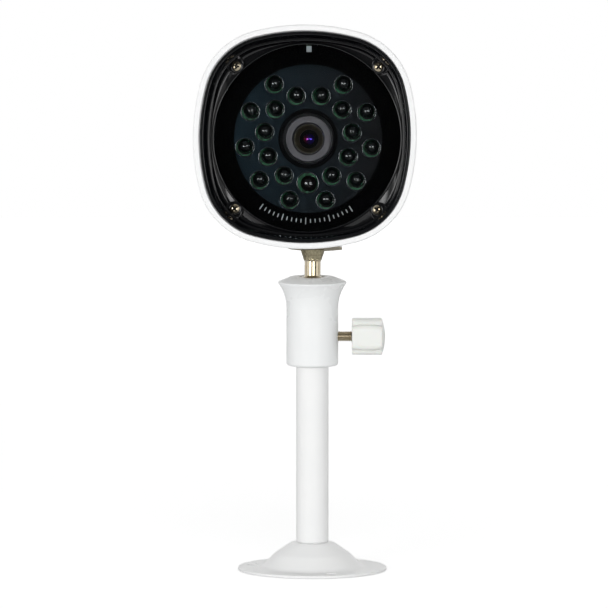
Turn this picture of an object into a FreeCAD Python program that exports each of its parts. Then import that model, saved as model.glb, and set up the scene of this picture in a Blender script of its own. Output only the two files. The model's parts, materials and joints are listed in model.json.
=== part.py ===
"""Weatherproof bullet camera on a ball-joint table and wall bracket, one STEP file per piece.

Units are millimetres.  The origin is the centre of the underside of the base flange and +Z is up.
The camera looks towards -Y and the clamp screw of the bracket points to +X.

Pieces of the bracket are drawn in this world frame.  Pieces of the camera head are drawn in a head
frame: U to the right seen from the front, W backwards from the front rim, V up, with the optical
axis on W.  The head frame is then set on the ball by HEAD_POSE.
"""
import FreeCAD, Part
import math
import os
from FreeCAD import Placement, Rotation, Vector

# ---------------------------------------------------------------- clearances
THREAD_GAP = 0.05       # radial, screw in its threaded hole (threads are drawn as plain cylinders)
HOLE_GAP = 0.25         # radial, screw through a clearance hole
FIT_GAP = 0.05          # radial, parts that are pushed together by hand
RUNNING_GAP = 0.05      # radial, parts that turn in each other
SEAT_GAP = 0.15         # radial, collar on the post

# ---------------------------------------------------------------- base flange
BASE_R = 27.6
BASE_SHEET = 1.0
DOME_FOOT_R = 18.9
DOME_TOP_R = 8.3
DOME_TOP_Z = 10.2
DOME_TOP_BEND = 3.0
DOME_FOOT_BEND = 4.0
BASE_HOLE_R = 2.1
BASE_HOLE_PCD = 45.0
BASE_HOLE_COUNT = 3
BASE_HOLE_START = 48.0
FOOT_SCREW_R = 2.5
FOOT_HEAD_R = 4.5
FOOT_HEAD_H = 3.0
WASHER_R = 6.0
WASHER_T = 1.0
PLUG_LENGTH = 14.0

# ---------------------------------------------------------------- post, collar, ball
POST_R = 6.0
POST_WALL = 1.2
COLLAR_TOP_Z = 109.2    # height of the whole bracket
COLLAR_BOTTOM_Z = COLLAR_TOP_Z - 33.0
COLLAR_FLARE_Z = COLLAR_TOP_Z - 11.5
COLLAR_WALL = 3.45
COLLAR_R = POST_R + SEAT_GAP + COLLAR_WALL
COLLAR_FLARE_ARC = 15.1
COLLAR_RIM_R = COLLAR_R + 3.2
COLLAR_TOP_R = COLLAR_RIM_R - 4.55
BALL_R = POST_R - 0.5   # the ball passes up through the collar's bore
BALL_DROP = 3.4         # ball centre below the collar top
BALL_GAP = 0.1          # radial, ball in the collar's socket
LIP_HEIGHT = 3.0        # lip of the socket above the ball centre
LIP_OPEN_R = BALL_R - 0.55      # opening at the top face
SEAT_FLOOR = 1.2        # nylon under the ball
SEAT_RIM_DROP = 1.0     # rim of the nylon seat below the ball centre
SEAT_SPIGOT = 4.0
STEM_R = 3.0
FLARE_R = 4.5
FLARE_LENGTH = 4.2
STUD_REACH = 13.2       # ball centre to the face that carries the camera
STUD_THREAD_R = 3.1
STUD_THREAD = 7.0
STUD_FACE_GAP = 0.05

# ---------------------------------------------------------------- clamp screw
CLAMP_Z = COLLAR_TOP_Z - 22.2
CLAMP_SCREW_R = 2.0
SHOE_R = 1.75
SHOE_T = 1.2
SHOE_GAP = 0.04
KNOB_X = COLLAR_R + 5.05
KNOB_LENGTH = 11.25
KNOB_ACROSS = 13.3
KNOB_LOBE = 8.5
KNOB_ROUND = 1.9
KNOB_CAP_R = 4.85
KNOB_CAP_H = 1.1
KNOB_GRIP = 9.4         # screw held inside the knob

# ---------------------------------------------------------------- head pose on the ball
HEAD_YAW = -5.04
HEAD_PITCH = -7.1
STUD_BEHIND_RIM = 40.0

# ---------------------------------------------------------------- housing outline
GLASS_R = 35.4          # the window glass sets the size of the rim round it
RIM_HALF = GLASS_R + 5.79       # rim centre to the middle of a side
SIDE_CENTRE = 34.51     # centre of a side's arc beyond the optical axis
CORNER_CENTRE = 12.4    # centre of a corner's arc, both ways
DRAFT = math.tan(math.radians(5.5))
SHELL_LENGTH = 84.0
SHELL_WALL = 2.2
RIM_ROUND = 0.5
LEDGE_W = 20.2
LEDGE_T = 2.0
LEDGE_DEPTH = 4.5
BOSS_R = 3.6
FRONT_BOSS_END = 34.0
REAR_BOSS_START = SHELL_LENGTH - 14.0
REAR_BOSS_R = 3.2
REAR_SCREW_AT = (RIM_HALF - 10.926) / math.sqrt(2)
WEB_T = 3.0
REAR_SCREW_R = 1.5

# ---------------------------------------------------------------- bezel and window
BEZEL_GAP = 0.15
BEZEL_FRONT = 1.9
BEZEL_BACK = 19.0
CHAMFER_HALF = RIM_HALF - 3.99
CHAMFER_W = 2.6
FUNNEL_HALF = CHAMFER_HALF - 1.7
FUNNEL_W = 9.0
POCKET_W = 11.6
WINDOW_RING_R = GLASS_R - 1.0
WINDOW_RING_T = 0.8
WINDOW_RING_W = 10.5
BEZEL_BOSS_R = 2.6
BEZEL_BOSS_W = 9.5
BEZEL_SCREW_AT = (RIM_HALF - 4.138) / math.sqrt(2)      # on the diagonals
BEZEL_SCREW_R = 1.0
BEZEL_SCREW_HEAD_R = 1.85
BEZEL_SCREW_HEAD_H = 1.3
BEZEL_SCREW_LENGTH = 20.0
GLASS_W = 13.0
GLASS_T = 2.0
GLASS_GASKET_T = 0.4
MASK_T = 0.1
CLEAR_R = GLASS_R - 8.05
RETAINER_TURN = 3.3     # length of the retainer's outer thread
RETAINER_BACK_R = GLASS_R - 1.1
STATUS_WIDTH = 2.0
STATUS_HIGH = GLASS_R - 1.2
STATUS_LOW = STATUS_HIGH - 2.4

# ---------------------------------------------------------------- infrared ring
PLATE_R = GLASS_R - 2.2
PLATE_W = 15.6
PLATE_T = 1.0
SHELF_R = PLATE_R - 1.0
LED_R = 2.5
LED_HOLE_R = LED_R + 0.7
SENSOR_HOLE_R = 3.75
LENS_HOLE_R = 10.7
RING_STEP = 360.0 / 11
INNER_RING_R = 16.3
OUTER_RING_R = 23.6
LED_FLANGE_R = LED_R + 0.4
LED_FLANGE_T = 1.0
LED_DOME_W = 15.9 + LED_R       # the tips stand behind the front of the cover plate
BOARD_W = 21.0
BOARD_T = 1.6
LED_BOARD_R = GLASS_R - 2.4
LED_BOARD_HOLE_R = 9.9
PAD_AT = LED_BOARD_R - 2.4
PAD_R = 2.6
PAD_START = 90.0
SHIELD_R = 12.5

# ---------------------------------------------------------------- lens and electronics
BARREL_R = 9.4
BARREL_FRONT = 15.9
BARREL_HOOD_END = 26.0
M12_R = 6.0
BARREL_END = 39.5
FRONT_RING_R = 8.4
FRONT_RING_BORE = 5.55
FRONT_RING_W = 16.5
CONE_R = 3.5
CONE_W = 17.7
CONE_END = 19.3
LENS_BORE_R = 5.5
SENSOR_BOARD = (46.0, 38.0)
SENSOR_BOARD_W = 44.0
HOLDER_CAVITY = 12.0
HOLDER_CAVITY_W = 40.6
HOLDER_SCREW_AT = 7.5
HOLDER_SCREW_R = 1.0
MAIN_BOARD = (46.0, 46.0)
MAIN_BOARD_W = 58.0
STANDOFF_SPOTS = [(-16.6, 14.4), (16.6, 14.4), (-20.0, -9.2), (20.0, -9.2)]
STANDOFF_R = 2.25
PCB_SCREW_R = 1.25
PCB_HEAD_R = 2.2
PCB_HEAD_H = 1.5

# ---------------------------------------------------------------- rear cover and cable gland
GASKET_T = 1.0
COVER_T = 3.5
COVER_ROUND = 1.2
SKIRT = 4.0             # depth of the cover's locating skirt inside the housing
SKIRT_T = 1.5
GLAND_V = -6.0
GLAND_R = 6.0
GLAND_HEX = 15.0        # across the flats, flange and both nuts
GLAND_WALL = 1.3
GLAND_INSIDE = 6.0      # threaded shank inside the cover
GLAND_OUTSIDE = 14.0    # and behind it
GLAND_WASHER_T = 0.8
GLAND_FLANGE_T = 4.0
GLAND_LOCK_T = 3.0
GLAND_BORE = 3.3        # seal, on the cable
GLAND_SEAL_START = 4.0
GLAND_SEAL_RIM = 1.1    # rim that the dome nut presses on
DOME_NUT_GAP = 0.8
DOME_NUT_HEX_T = 6.0
DOME_NUT_LENGTH = 12.6
DOME_NUT_R = 7.4
DOME_NUT_END_R = 4.9
DOME_NUT_FLOOR = 3.0

# ---------------------------------------------------------------- tripod plate under the head
PLATE_WIDTH = 19.6
PLATE_LENGTH = 28.0
MOUNT_PLATE_T = 0.8
PLATE_BED_GAP = 0.05    # radial, curved plate on its bed
INSERT_SET_BACK = 0.25  # insert's end above the top of the curved plate
AXIS_ABOVE_PLATE = RIM_HALF - 1.04
PLATE_ARC = 75.0
INSERT_R = 4.5
INSERT_LENGTH = 8.0
INSERT_BOSS_R = 7.0
INSERT_BOSS_TOP = AXIS_ABOVE_PLATE - 10.95
PLATE_SCREW_AT = 9.8
PLATE_SCREW_R = 1.25

# ---------------------------------------------------------------- places worked out from the sizes
BALL_Z = COLLAR_TOP_Z - BALL_DROP
POST_TOP_Z = BALL_Z - BALL_R - RUNNING_GAP - SEAT_FLOOR
POST_BORE_R = POST_R - POST_WALL
BALL_CENTRE = Vector(0, 0, BALL_Z)
BALL_POSE = Placement(BALL_CENTRE, Rotation(Vector(0, 0, 1), HEAD_YAW)
                      * Rotation(Vector(1, 0, 0), HEAD_PITCH))
AXIS_HEIGHT = STUD_REACH + STUD_FACE_GAP + AXIS_ABOVE_PLATE
HEAD_POSE = BALL_POSE * Placement(Vector(0, -STUD_BEHIND_RIM, AXIS_HEIGHT), Rotation())
COVER_W = SHELL_LENGTH + GASKET_T
COVER_BACK = COVER_W + COVER_T
PLATE_TOP_R = PLATE_ARC - MOUNT_PLATE_T
RETAINER_W = GLASS_W + GLASS_T + MASK_T


# ================================================================ drawing helpers
def outline(path, place):
    """Closed wire through `path`; place(a, b) gives the point in space.

    An entry is (a, b) for a straight line, (a, b, r) for a corner rounded by r, or
    (via_a, via_b, a, b) for an arc through the via point.
    """
    ends = [Vector(p[-2], p[-1], 0) if len(p) == 4 else Vector(p[0], p[1], 0) for p in path]
    count = len(path)
    starts = list(ends)     # where the edge that leaves each point begins
    stops = list(ends)      # where the edge that reaches it ends
    edges = []
    for i, entry in enumerate(path):
        if len(entry) != 3:
            continue
        to_last = (ends[i - 1] - ends[i]).normalize()
        to_next = (ends[(i + 1) % count] - ends[i]).normalize()
        half_turn = to_last.getAngle(to_next) / 2
        reach = entry[2] / math.tan(half_turn)
        stops[i] = ends[i] + to_last * reach
        starts[i] = ends[i] + to_next * reach
        middle = (to_last + to_next).normalize()
        via = ends[i] + middle * (entry[2] / math.sin(half_turn) - entry[2])
        edges.append(Part.Arc(place(*stops[i][:2]), place(*via[:2]), place(*starts[i][:2])).toShape())
    for i, entry in enumerate(path):
        begin, end = place(*starts[i - 1][:2]), place(*stops[i][:2])
        if len(entry) == 4:
            edges.append(Part.Arc(begin, place(entry[0], entry[1]), end).toShape())
        elif begin.distanceToPoint(end) > 1e-6:
            edges.append(Part.LineSegment(begin, end).toShape())
    return Part.Wire(Part.__sortEdges__(edges))


def turned_z(path):
    """Solid of revolution about Z from (radius, height) points."""
    face = Part.Face(outline(path, lambda r, z: Vector(r, 0, z)))
    return face.revolve(Vector(), Vector(0, 0, 1), 360)


def turned_w(path, u=0.0, v=0.0):
    """Solid of revolution about W from (radius, w) points, its axis at (u, v)."""
    face = Part.Face(outline(path, lambda r, w: Vector(r, w, 0)))
    solid = face.revolve(Vector(), Vector(0, 1, 0), 360)
    solid.translate(Vector(u, 0, v))
    return solid


def disc(radius, w0, w1, u=0.0, v=0.0):
    return Part.makeCylinder(radius, w1 - w0, Vector(u, w0, v), Vector(0, 1, 0))


def ring(outer, inner, w0, w1, u=0.0, v=0.0):
    return disc(outer, w0, w1, u, v).cut(disc(inner, w0, w1, u, v))


def block(u0, u1, w0, w1, v0, v1):
    return Part.makeBox(u1 - u0, w1 - w0, v1 - v0, Vector(u0, w0, v0))


def rod_x(radius, x0, x1, z):
    return Part.makeCylinder(radius, x1 - x0, Vector(x0, 0, z), Vector(1, 0, 0))


def rod_z(radius, z0, z1, x=0.0, y=0.0):
    return Part.makeCylinder(radius, z1 - z0, Vector(x, y, z0))


def corner_web(u, v, w0, w1):
    """Rib from a boss at (u, v) outwards to the corner of the housing."""
    rib = block(0, 9.0, w0, w1, -WEB_T / 2, WEB_T / 2)
    rib.rotate(Vector(), Vector(0, 1, 0), -math.degrees(math.atan2(v, u)))
    rib.translate(Vector(u, 0, v))
    return rib


def merge(shapes):
    first, rest = shapes[0], shapes[1:]
    return first.fuse(rest).removeSplitter() if rest else first


def polar(radius, degrees):
    angle = math.radians(degrees)
    return radius * math.cos(angle), radius * math.sin(angle)


def corners(distance):
    return [(u, v) for u in (-distance, distance) for v in (-distance, distance)]


def squircle(half, w):
    """Rounded-square outline with bowed sides; `half` is the middle of a side from the axis."""
    side_r = half + SIDE_CENTRE
    lean = math.atan2(CORNER_CENTRE, CORNER_CENTRE + SIDE_CENTRE)
    corner_r = side_r - math.hypot(CORNER_CENTRE, CORNER_CENTRE + SIDE_CENTRE)
    edges = []
    for quarter in range(4):
        turn = Rotation(Vector(0, 1, 0), -90.0 * quarter)

        def spot(centre_u, centre_v, radius, angle):
            flat = Vector(centre_u + radius * math.cos(angle), 0, centre_v + radius * math.sin(angle))
            return turn.multVec(flat) + Vector(0, w, 0)

        side = [spot(-SIDE_CENTRE, 0, side_r, a) for a in (-lean, 0, lean)]
        bend = [spot(CORNER_CENTRE, CORNER_CENTRE, corner_r, a)
                for a in (lean, math.pi / 4, math.pi / 2 - lean)]
        edges += [Part.Arc(*side).toShape(), Part.Arc(*bend).toShape()]
    return Part.Wire(edges)


def prism(*sections):
    """Solid through squircle sections given as (half, w), ruled between them."""
    return Part.makeLoft([squircle(half, w) for half, w in sections], True, True)


def drafted(inset, w0, w1):
    """Solid that follows the housing's taper, `inset` inside its outer surface."""
    return prism((RIM_HALF - DRAFT * w0 - inset, w0), (RIM_HALF - DRAFT * w1 - inset, w1))


def hexagon(across, w0, w1, v=0.0):
    radius = across / math.sqrt(3)
    rim = [polar(radius, 60 * k) for k in range(7)]
    outline_points = [Vector(u, w0, v + rise) for u, rise in rim]
    return Part.Face(Part.makePolygon(outline_points)).extrude(Vector(0, w1 - w0, 0))


def pan_screw(radius, head_r, head_h, seat_w, length, u, v, facing=-1):
    """Screw along W with its head's bearing face at seat_w; facing -1 puts the head in front."""
    shank = turned_w([(0, 0), (radius, 0), (radius, length - radius / 2), (radius / 2, length), (0, length)])
    head = turned_w([(0, -head_h), (head_r * 0.55, -head_h), (head_r, -head_h * 0.35), (head_r, 0), (0, 0)])
    slots = [block(-head_r * 0.6, head_r * 0.6, -head_h, -head_h * 0.45, -0.12 * head_r, 0.12 * head_r),
             block(-0.12 * head_r, 0.12 * head_r, -head_h, -head_h * 0.45, -head_r * 0.6, head_r * 0.6)]
    screw = merge([shank, head]).cut(slots)
    if facing > 0:
        screw.rotate(Vector(), Vector(0, 0, 1), 180)
    screw.translate(Vector(u, seat_w, v))
    return screw


def group(solids):
    return Part.makeCompound(solids)


# ================================================================ bracket
def base_flange():
    slope = math.atan2(DOME_TOP_Z - BASE_SHEET, DOME_FOOT_R - DOME_TOP_R)
    shift = BASE_SHEET / math.sin(slope)
    per_height = 1 / math.tan(slope)
    foot_under = DOME_FOOT_R + BASE_SHEET * per_height - shift
    top_under = DOME_TOP_R + BASE_SHEET * per_height - shift
    sheet = turned_z([(0, DOME_TOP_Z), (DOME_TOP_R, DOME_TOP_Z, DOME_TOP_BEND),
                      (DOME_FOOT_R, BASE_SHEET, DOME_FOOT_BEND), (BASE_R, BASE_SHEET),
                      (BASE_R, 0), (foot_under, 0, DOME_FOOT_BEND + BASE_SHEET),
                      (top_under, DOME_TOP_Z - BASE_SHEET, DOME_TOP_BEND - BASE_SHEET),
                      (0, DOME_TOP_Z - BASE_SHEET)])
    holes = [rod_z(FOOT_SCREW_R + HOLE_GAP, 0, DOME_TOP_Z)]
    for k in range(BASE_HOLE_COUNT):
        x, y = polar(BASE_HOLE_PCD / 2, BASE_HOLE_START + 360.0 / BASE_HOLE_COUNT * k)
        holes.append(rod_z(BASE_HOLE_R, 0, DOME_TOP_Z, x, y))
    return sheet.cut(holes)


def post_tube():
    return rod_z(POST_R, DOME_TOP_Z, POST_TOP_Z).cut(rod_z(POST_BORE_R, DOME_TOP_Z, POST_TOP_Z))


def post_foot_plug():
    top = DOME_TOP_Z + PLUG_LENGTH
    plug = rod_z(POST_BORE_R - FIT_GAP, DOME_TOP_Z, top)
    return plug.cut(rod_z(FOOT_SCREW_R + THREAD_GAP, DOME_TOP_Z, top - BASE_SHEET))


def foot_washer():
    under = DOME_TOP_Z - BASE_SHEET
    hole = rod_z(FOOT_SCREW_R + HOLE_GAP, under - WASHER_T, under)
    return rod_z(WASHER_R, under - WASHER_T, under).cut(hole)


def foot_screw():
    seat = DOME_TOP_Z - BASE_SHEET - WASHER_T
    head = turned_z([(0, seat - FOOT_HEAD_H), (FOOT_HEAD_R * 0.6, seat - FOOT_HEAD_H),
                     (FOOT_HEAD_R, seat - FOOT_HEAD_H * 0.4), (FOOT_HEAD_R, seat), (0, seat)])
    shank = rod_z(FOOT_SCREW_R, seat, DOME_TOP_Z + PLUG_LENGTH * 0.8)
    return merge([shank, head])


def ball_seat():
    """Nylon cup on the post; it turns on the post with the ball."""
    cup = rod_z(POST_R - RUNNING_GAP, POST_TOP_Z, BALL_Z - SEAT_RIM_DROP)
    spigot = rod_z(POST_BORE_R - RUNNING_GAP, POST_TOP_Z - SEAT_SPIGOT, POST_TOP_Z)
    return merge([cup, spigot]).cut(Part.makeSphere(BALL_R + RUNNING_GAP, BALL_CENTRE))


def clamp_collar():
    """Turned collar: plain barrel, flared cup, and the lip that holds the ball down."""
    flare_centre_r = COLLAR_R + COLLAR_FLARE_ARC
    turn = math.acos((flare_centre_r - COLLAR_RIM_R) / COLLAR_FLARE_ARC)
    rim_z = COLLAR_FLARE_Z + COLLAR_FLARE_ARC * math.sin(turn)
    via_r = flare_centre_r - COLLAR_FLARE_ARC * math.cos(turn / 2)
    via_z = COLLAR_FLARE_Z + COLLAR_FLARE_ARC * math.sin(turn / 2)
    bore = POST_R + SEAT_GAP
    socket = BALL_R + BALL_GAP
    lip_r = math.sqrt(socket ** 2 - LIP_HEIGHT ** 2)
    middle = math.radians(20)
    roof = 0.3
    body = turned_z([(bore, COLLAR_BOTTOM_Z), (COLLAR_R, COLLAR_BOTTOM_Z, 1.0), (COLLAR_R, COLLAR_FLARE_Z),
                     (via_r, via_z, COLLAR_RIM_R, rim_z), (COLLAR_RIM_R - 0.25, rim_z + 0.45),
                     (COLLAR_TOP_R, COLLAR_TOP_Z, 1.0), (LIP_OPEN_R, COLLAR_TOP_Z),
                     (lip_r, BALL_Z + LIP_HEIGHT),
                     (socket * math.cos(middle), BALL_Z + socket * math.sin(middle),
                      math.sqrt(socket ** 2 - roof ** 2), BALL_Z + roof),
                     (bore, BALL_Z + roof)])
    return body.cut(rod_x(CLAMP_SCREW_R + THREAD_GAP, 0, COLLAR_R + 1, CLAMP_Z))


def ball_stud():
    """Ball, stem, flared lock face and quarter-inch thread in one piece, drawn upright."""
    flare_z = STUD_REACH - FLARE_LENGTH
    flare_arc = (FLARE_LENGTH ** 2 + (FLARE_R - STEM_R) ** 2) / (2 * (FLARE_R - STEM_R))
    half = math.asin(FLARE_LENGTH / flare_arc) / 2
    via_r = STEM_R + flare_arc * (1 - math.cos(half))
    via_z = flare_z + flare_arc * math.sin(half)
    top = STUD_REACH + STUD_THREAD
    stem = turned_z([(0, 0), (STEM_R, 0), (STEM_R, flare_z), (via_r, via_z, FLARE_R, STUD_REACH),
                     (STUD_THREAD_R, STUD_REACH), (STUD_THREAD_R, top - 0.6), (STUD_THREAD_R - 0.6, top),
                     (0, top)])
    return merge([Part.makeSphere(BALL_R), stem])


def clamp_shoe():
    start = POST_R + SHOE_GAP
    return rod_x(SHOE_R, start, start + SHOE_T, CLAMP_Z)


def thumb_screw():
    tip = POST_R + 2 * SHOE_GAP + SHOE_T
    screw = rod_x(CLAMP_SCREW_R, tip, KNOB_X + KNOB_GRIP, CLAMP_Z)
    return screw.makeChamfer(0.4, [screw.Edges[i] for i in end_edges(screw, tip)])


def end_edges(rod, x):
    """Indices of the circular edges of an X rod that lie in the plane at x."""
    return [i for i, edge in enumerate(rod.Edges) if edge.BoundBox.XLength < 1e-6
            and abs(edge.BoundBox.XMin - x) < 1e-6]


def knob_bar(width, height):
    """Rounded bar of the knob's cross, centred on the screw."""
    half_w, half_h = width / 2, height / 2
    rounding = min(KNOB_ROUND, half_w * 0.9, half_h * 0.9)
    path = [(half_w, half_h, rounding), (-half_w, half_h, rounding),
            (-half_w, -half_h, rounding), (half_w, -half_h, rounding)]
    wire = outline(path, lambda a, b: Vector(KNOB_X, a, CLAMP_Z + b))
    return Part.Face(wire).extrude(Vector(KNOB_LENGTH, 0, 0))


def thumb_knob():
    cross = merge([knob_bar(KNOB_ACROSS, KNOB_LOBE), knob_bar(KNOB_LOBE, KNOB_ACROSS)])
    end = KNOB_X + KNOB_LENGTH
    cap = rod_x(KNOB_CAP_R, end - 0.5, end + KNOB_CAP_H, CLAMP_Z)
    bore = rod_x(CLAMP_SCREW_R + FIT_GAP, KNOB_X, KNOB_X + KNOB_GRIP + FIT_GAP, CLAMP_Z)
    return merge([cross, cap]).cut(bore)


# ================================================================ tripod plate
def plate_slab(top_r, bottom_r, half_width, w0, w1):
    """Curved slab under the head, between two arcs about one axis above the plate."""
    axis_v = PLATE_ARC - AXIS_ABOVE_PLATE
    slab = block(-half_width, half_width, w0, w1, -AXIS_ABOVE_PLATE - 5, -RIM_HALF + 12)
    slab = slab.common(disc(bottom_r, w0, w1, 0, axis_v))
    return slab.cut(disc(top_r, w0, w1, 0, axis_v)) if top_r else slab


def stud_hole(radius, v0, v1):
    return Part.makeCylinder(radius, v1 - v0, Vector(0, STUD_BEHIND_RIM, v0))


def plate_screw_spots():
    return [STUD_BEHIND_RIM - PLATE_SCREW_AT, STUD_BEHIND_RIM + PLATE_SCREW_AT]


def plate_screw(w, radius, head_r, length):
    """Countersunk screw pointing up, flush with the underside of the plate."""
    low = -AXIS_ABOVE_PLATE
    shape = turned_z([(0, 0), (head_r, 0), (radius, head_r - radius), (radius, length), (0, length)])
    shape.translate(Vector(0, w, low))
    return shape


def mount_plate():
    w0 = STUD_BEHIND_RIM - PLATE_LENGTH / 2
    plate = plate_slab(PLATE_TOP_R, PLATE_ARC, PLATE_WIDTH / 2, w0, w0 + PLATE_LENGTH)
    holes = [stud_hole(STUD_THREAD_R + HOLE_GAP, -RIM_HALF, -RIM_HALF + 5)]
    holes += [plate_screw(w, PLATE_SCREW_R + THREAD_GAP, 2 * PLATE_SCREW_R + THREAD_GAP, 9.0)
              for w in plate_screw_spots()]
    return plate.cut(holes)


def mount_plate_screws():
    return group([plate_screw(w, PLATE_SCREW_R, 2 * PLATE_SCREW_R, 6.5) for w in plate_screw_spots()])


def mount_insert():
    low = -AXIS_ABOVE_PLATE + MOUNT_PLATE_T + INSERT_SET_BACK
    insert = stud_hole(INSERT_R, low, low + INSERT_LENGTH)
    return insert.cut(stud_hole(STUD_THREAD_R + THREAD_GAP, low, low + INSERT_LENGTH))


# ================================================================ housing
def housing_shell():
    end_half = RIM_HALF - DRAFT * SHELL_LENGTH
    outer = prism((RIM_HALF - RIM_ROUND, 0), (RIM_HALF - DRAFT * RIM_ROUND, RIM_ROUND),
                  (end_half, SHELL_LENGTH))
    w0 = STUD_BEHIND_RIM - PLATE_LENGTH / 2
    pedestal = plate_slab(0, PLATE_TOP_R - PLATE_BED_GAP, PLATE_WIDTH / 2, w0, w0 + PLATE_LENGTH)
    low = -AXIS_ABOVE_PLATE
    shell = merge([outer, pedestal]).cut(drafted(SHELL_WALL, -1, SHELL_LENGTH + 1))
    ledge = drafted(SHELL_WALL - 0.5, LEDGE_W, LEDGE_W + LEDGE_T)
    ledge = ledge.cut(drafted(LEDGE_DEPTH, LEDGE_W - 1, LEDGE_W + LEDGE_T + 1))
    front = [disc(BOSS_R, LEDGE_W, FRONT_BOSS_END, u, v) for u, v in corners(BEZEL_SCREW_AT)]
    rear = [disc(REAR_BOSS_R, REAR_BOSS_START, SHELL_LENGTH, u, v) for u, v in corners(REAR_SCREW_AT)]
    web_end = COVER_W - SKIRT - HOLE_GAP
    rear += [corner_web(u, v, REAR_BOSS_START, web_end) for u, v in corners(REAR_SCREW_AT)]
    insert = [stud_hole(INSERT_BOSS_R, low + 4, -INSERT_BOSS_TOP)]
    pads = [Part.makeCylinder(3.0, 6.0, Vector(0, w, low + 4)) for w in plate_screw_spots()]
    inside = drafted(SHELL_WALL - 0.5, 0, SHELL_LENGTH)
    extras = [extra.common(inside) for extra in front + rear + insert + pads]
    shell = merge([shell, ledge] + extras)
    cuts = [disc(RETAINER_BACK_R + 0.35, LEDGE_W - 1, LEDGE_W + LEDGE_T + 2.5)]
    cuts += [disc(BEZEL_SCREW_R + THREAD_GAP, LEDGE_W - 1, FRONT_BOSS_END - 1.5, u, v)
             for u, v in corners(BEZEL_SCREW_AT)]
    cuts += [disc(REAR_SCREW_R + THREAD_GAP, REAR_BOSS_START + 1.5, SHELL_LENGTH + 1, u, v)
             for u, v in corners(REAR_SCREW_AT)]
    cuts.append(stud_hole(INSERT_R + FIT_GAP, low - 1,
                          low + MOUNT_PLATE_T + INSERT_SET_BACK + INSERT_LENGTH))
    cuts += [plate_screw(w, PLATE_SCREW_R + THREAD_GAP, 2 * PLATE_SCREW_R + THREAD_GAP, 7.0)
             for w in plate_screw_spots()]
    return shell.cut(cuts)


def front_gasket():
    band = drafted(SHELL_WALL + 0.3, BEZEL_BACK, LEDGE_W)
    band = band.cut(drafted(LEDGE_DEPTH, BEZEL_BACK - 1, LEDGE_W + 1))
    return band.cut([disc(BEZEL_SCREW_R + HOLE_GAP, BEZEL_BACK - 1, LEDGE_W + 1, u, v)
                     for u, v in corners(BEZEL_SCREW_AT)])


def rear_gasket():
    band = drafted(0.4, SHELL_LENGTH, COVER_W)
    return band.cut(drafted(SHELL_WALL, SHELL_LENGTH - 1, COVER_W + 1))


def rear_cover():
    edge = RIM_HALF - DRAFT * COVER_W
    side_end = COVER_BACK - COVER_ROUND
    side_half = edge - DRAFT * (side_end - COVER_W)
    plate = prism((edge, COVER_W), (side_half, side_end), (side_half - COVER_ROUND, COVER_BACK))
    skirt = drafted(SHELL_WALL + HOLE_GAP, COVER_W - SKIRT, COVER_W)
    skirt = skirt.cut(drafted(SHELL_WALL + HOLE_GAP + SKIRT_T, COVER_W - SKIRT - 1, COVER_W))
    skirt = skirt.cut([disc(REAR_BOSS_R + HOLE_GAP, COVER_W - SKIRT - 1, COVER_W, u, v)
                       for u, v in corners(REAR_SCREW_AT)])
    pads = [disc(REAR_BOSS_R, SHELL_LENGTH, COVER_W, u, v) for u, v in corners(REAR_SCREW_AT)]
    inside = drafted(SHELL_WALL + HOLE_GAP, SHELL_LENGTH, COVER_W)
    cover = merge([plate, skirt] + [pad.common(inside) for pad in pads])
    holes = [disc(REAR_SCREW_R + HOLE_GAP, SHELL_LENGTH - 1, COVER_BACK + 1, u, v)
             for u, v in corners(REAR_SCREW_AT)]
    holes.append(disc(GLAND_R + HOLE_GAP, COVER_W - 1, COVER_BACK + 1, 0, GLAND_V))
    return cover.cut(holes)


def rear_cover_screws():
    return group([pan_screw(REAR_SCREW_R, 2.75, 2.0, COVER_BACK, 14.0, u, v, facing=1)
                  for u, v in corners(REAR_SCREW_AT)])


# ================================================================ cable gland
def gland_body():
    front, back = COVER_W - GLAND_INSIDE, COVER_BACK + GLAND_OUTSIDE
    seat = COVER_BACK + GLAND_WASHER_T
    flange = hexagon(GLAND_HEX, seat, seat + GLAND_FLANGE_T, GLAND_V)
    bore = disc(GLAND_R - GLAND_WALL, front - 1, back + 1, 0, GLAND_V)
    return merge([disc(GLAND_R, front, back, 0, GLAND_V), flange]).cut(bore)


def gland_washer():
    back = COVER_BACK + GLAND_WASHER_T
    return ring(GLAND_HEX / 2, GLAND_R + FIT_GAP, COVER_BACK, back, 0, GLAND_V)


def gland_lock_nut():
    front = COVER_W - GLAND_LOCK_T
    nut = hexagon(GLAND_HEX, front, COVER_W, GLAND_V)
    return nut.cut(disc(GLAND_R + THREAD_GAP, front - 1, COVER_W + 1, 0, GLAND_V))


def gland_dome_nut():
    start = COVER_BACK + GLAND_WASHER_T + GLAND_FLANGE_T + DOME_NUT_GAP
    shoulder = start + DOME_NUT_HEX_T
    end = start + DOME_NUT_LENGTH
    dome = turned_w([(0, shoulder), (DOME_NUT_R, shoulder), (DOME_NUT_R, shoulder + 2.5, 2.0),
                     (DOME_NUT_END_R, end, 0.6), (0, end)], 0, GLAND_V)
    nut = merge([hexagon(GLAND_HEX, start, shoulder, GLAND_V), dome])
    thread = disc(GLAND_R + THREAD_GAP, start - 1, end - DOME_NUT_FLOOR, 0, GLAND_V)
    return nut.cut([thread, disc(GLAND_BORE + 0.5, start, end + 1, 0, GLAND_V)])


def gland_seal():
    """Rubber sleeve that closes on the cable when the dome nut is tightened."""
    front, shank_end = COVER_BACK + GLAND_SEAL_START, COVER_BACK + GLAND_OUTSIDE
    sleeve = ring(GLAND_R - GLAND_WALL - FIT_GAP, GLAND_BORE, front, shank_end, 0, GLAND_V)
    rim = ring(GLAND_R - 0.4, GLAND_BORE, shank_end, shank_end + GLAND_SEAL_RIM, 0, GLAND_V)
    return merge([sleeve, rim])


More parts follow.
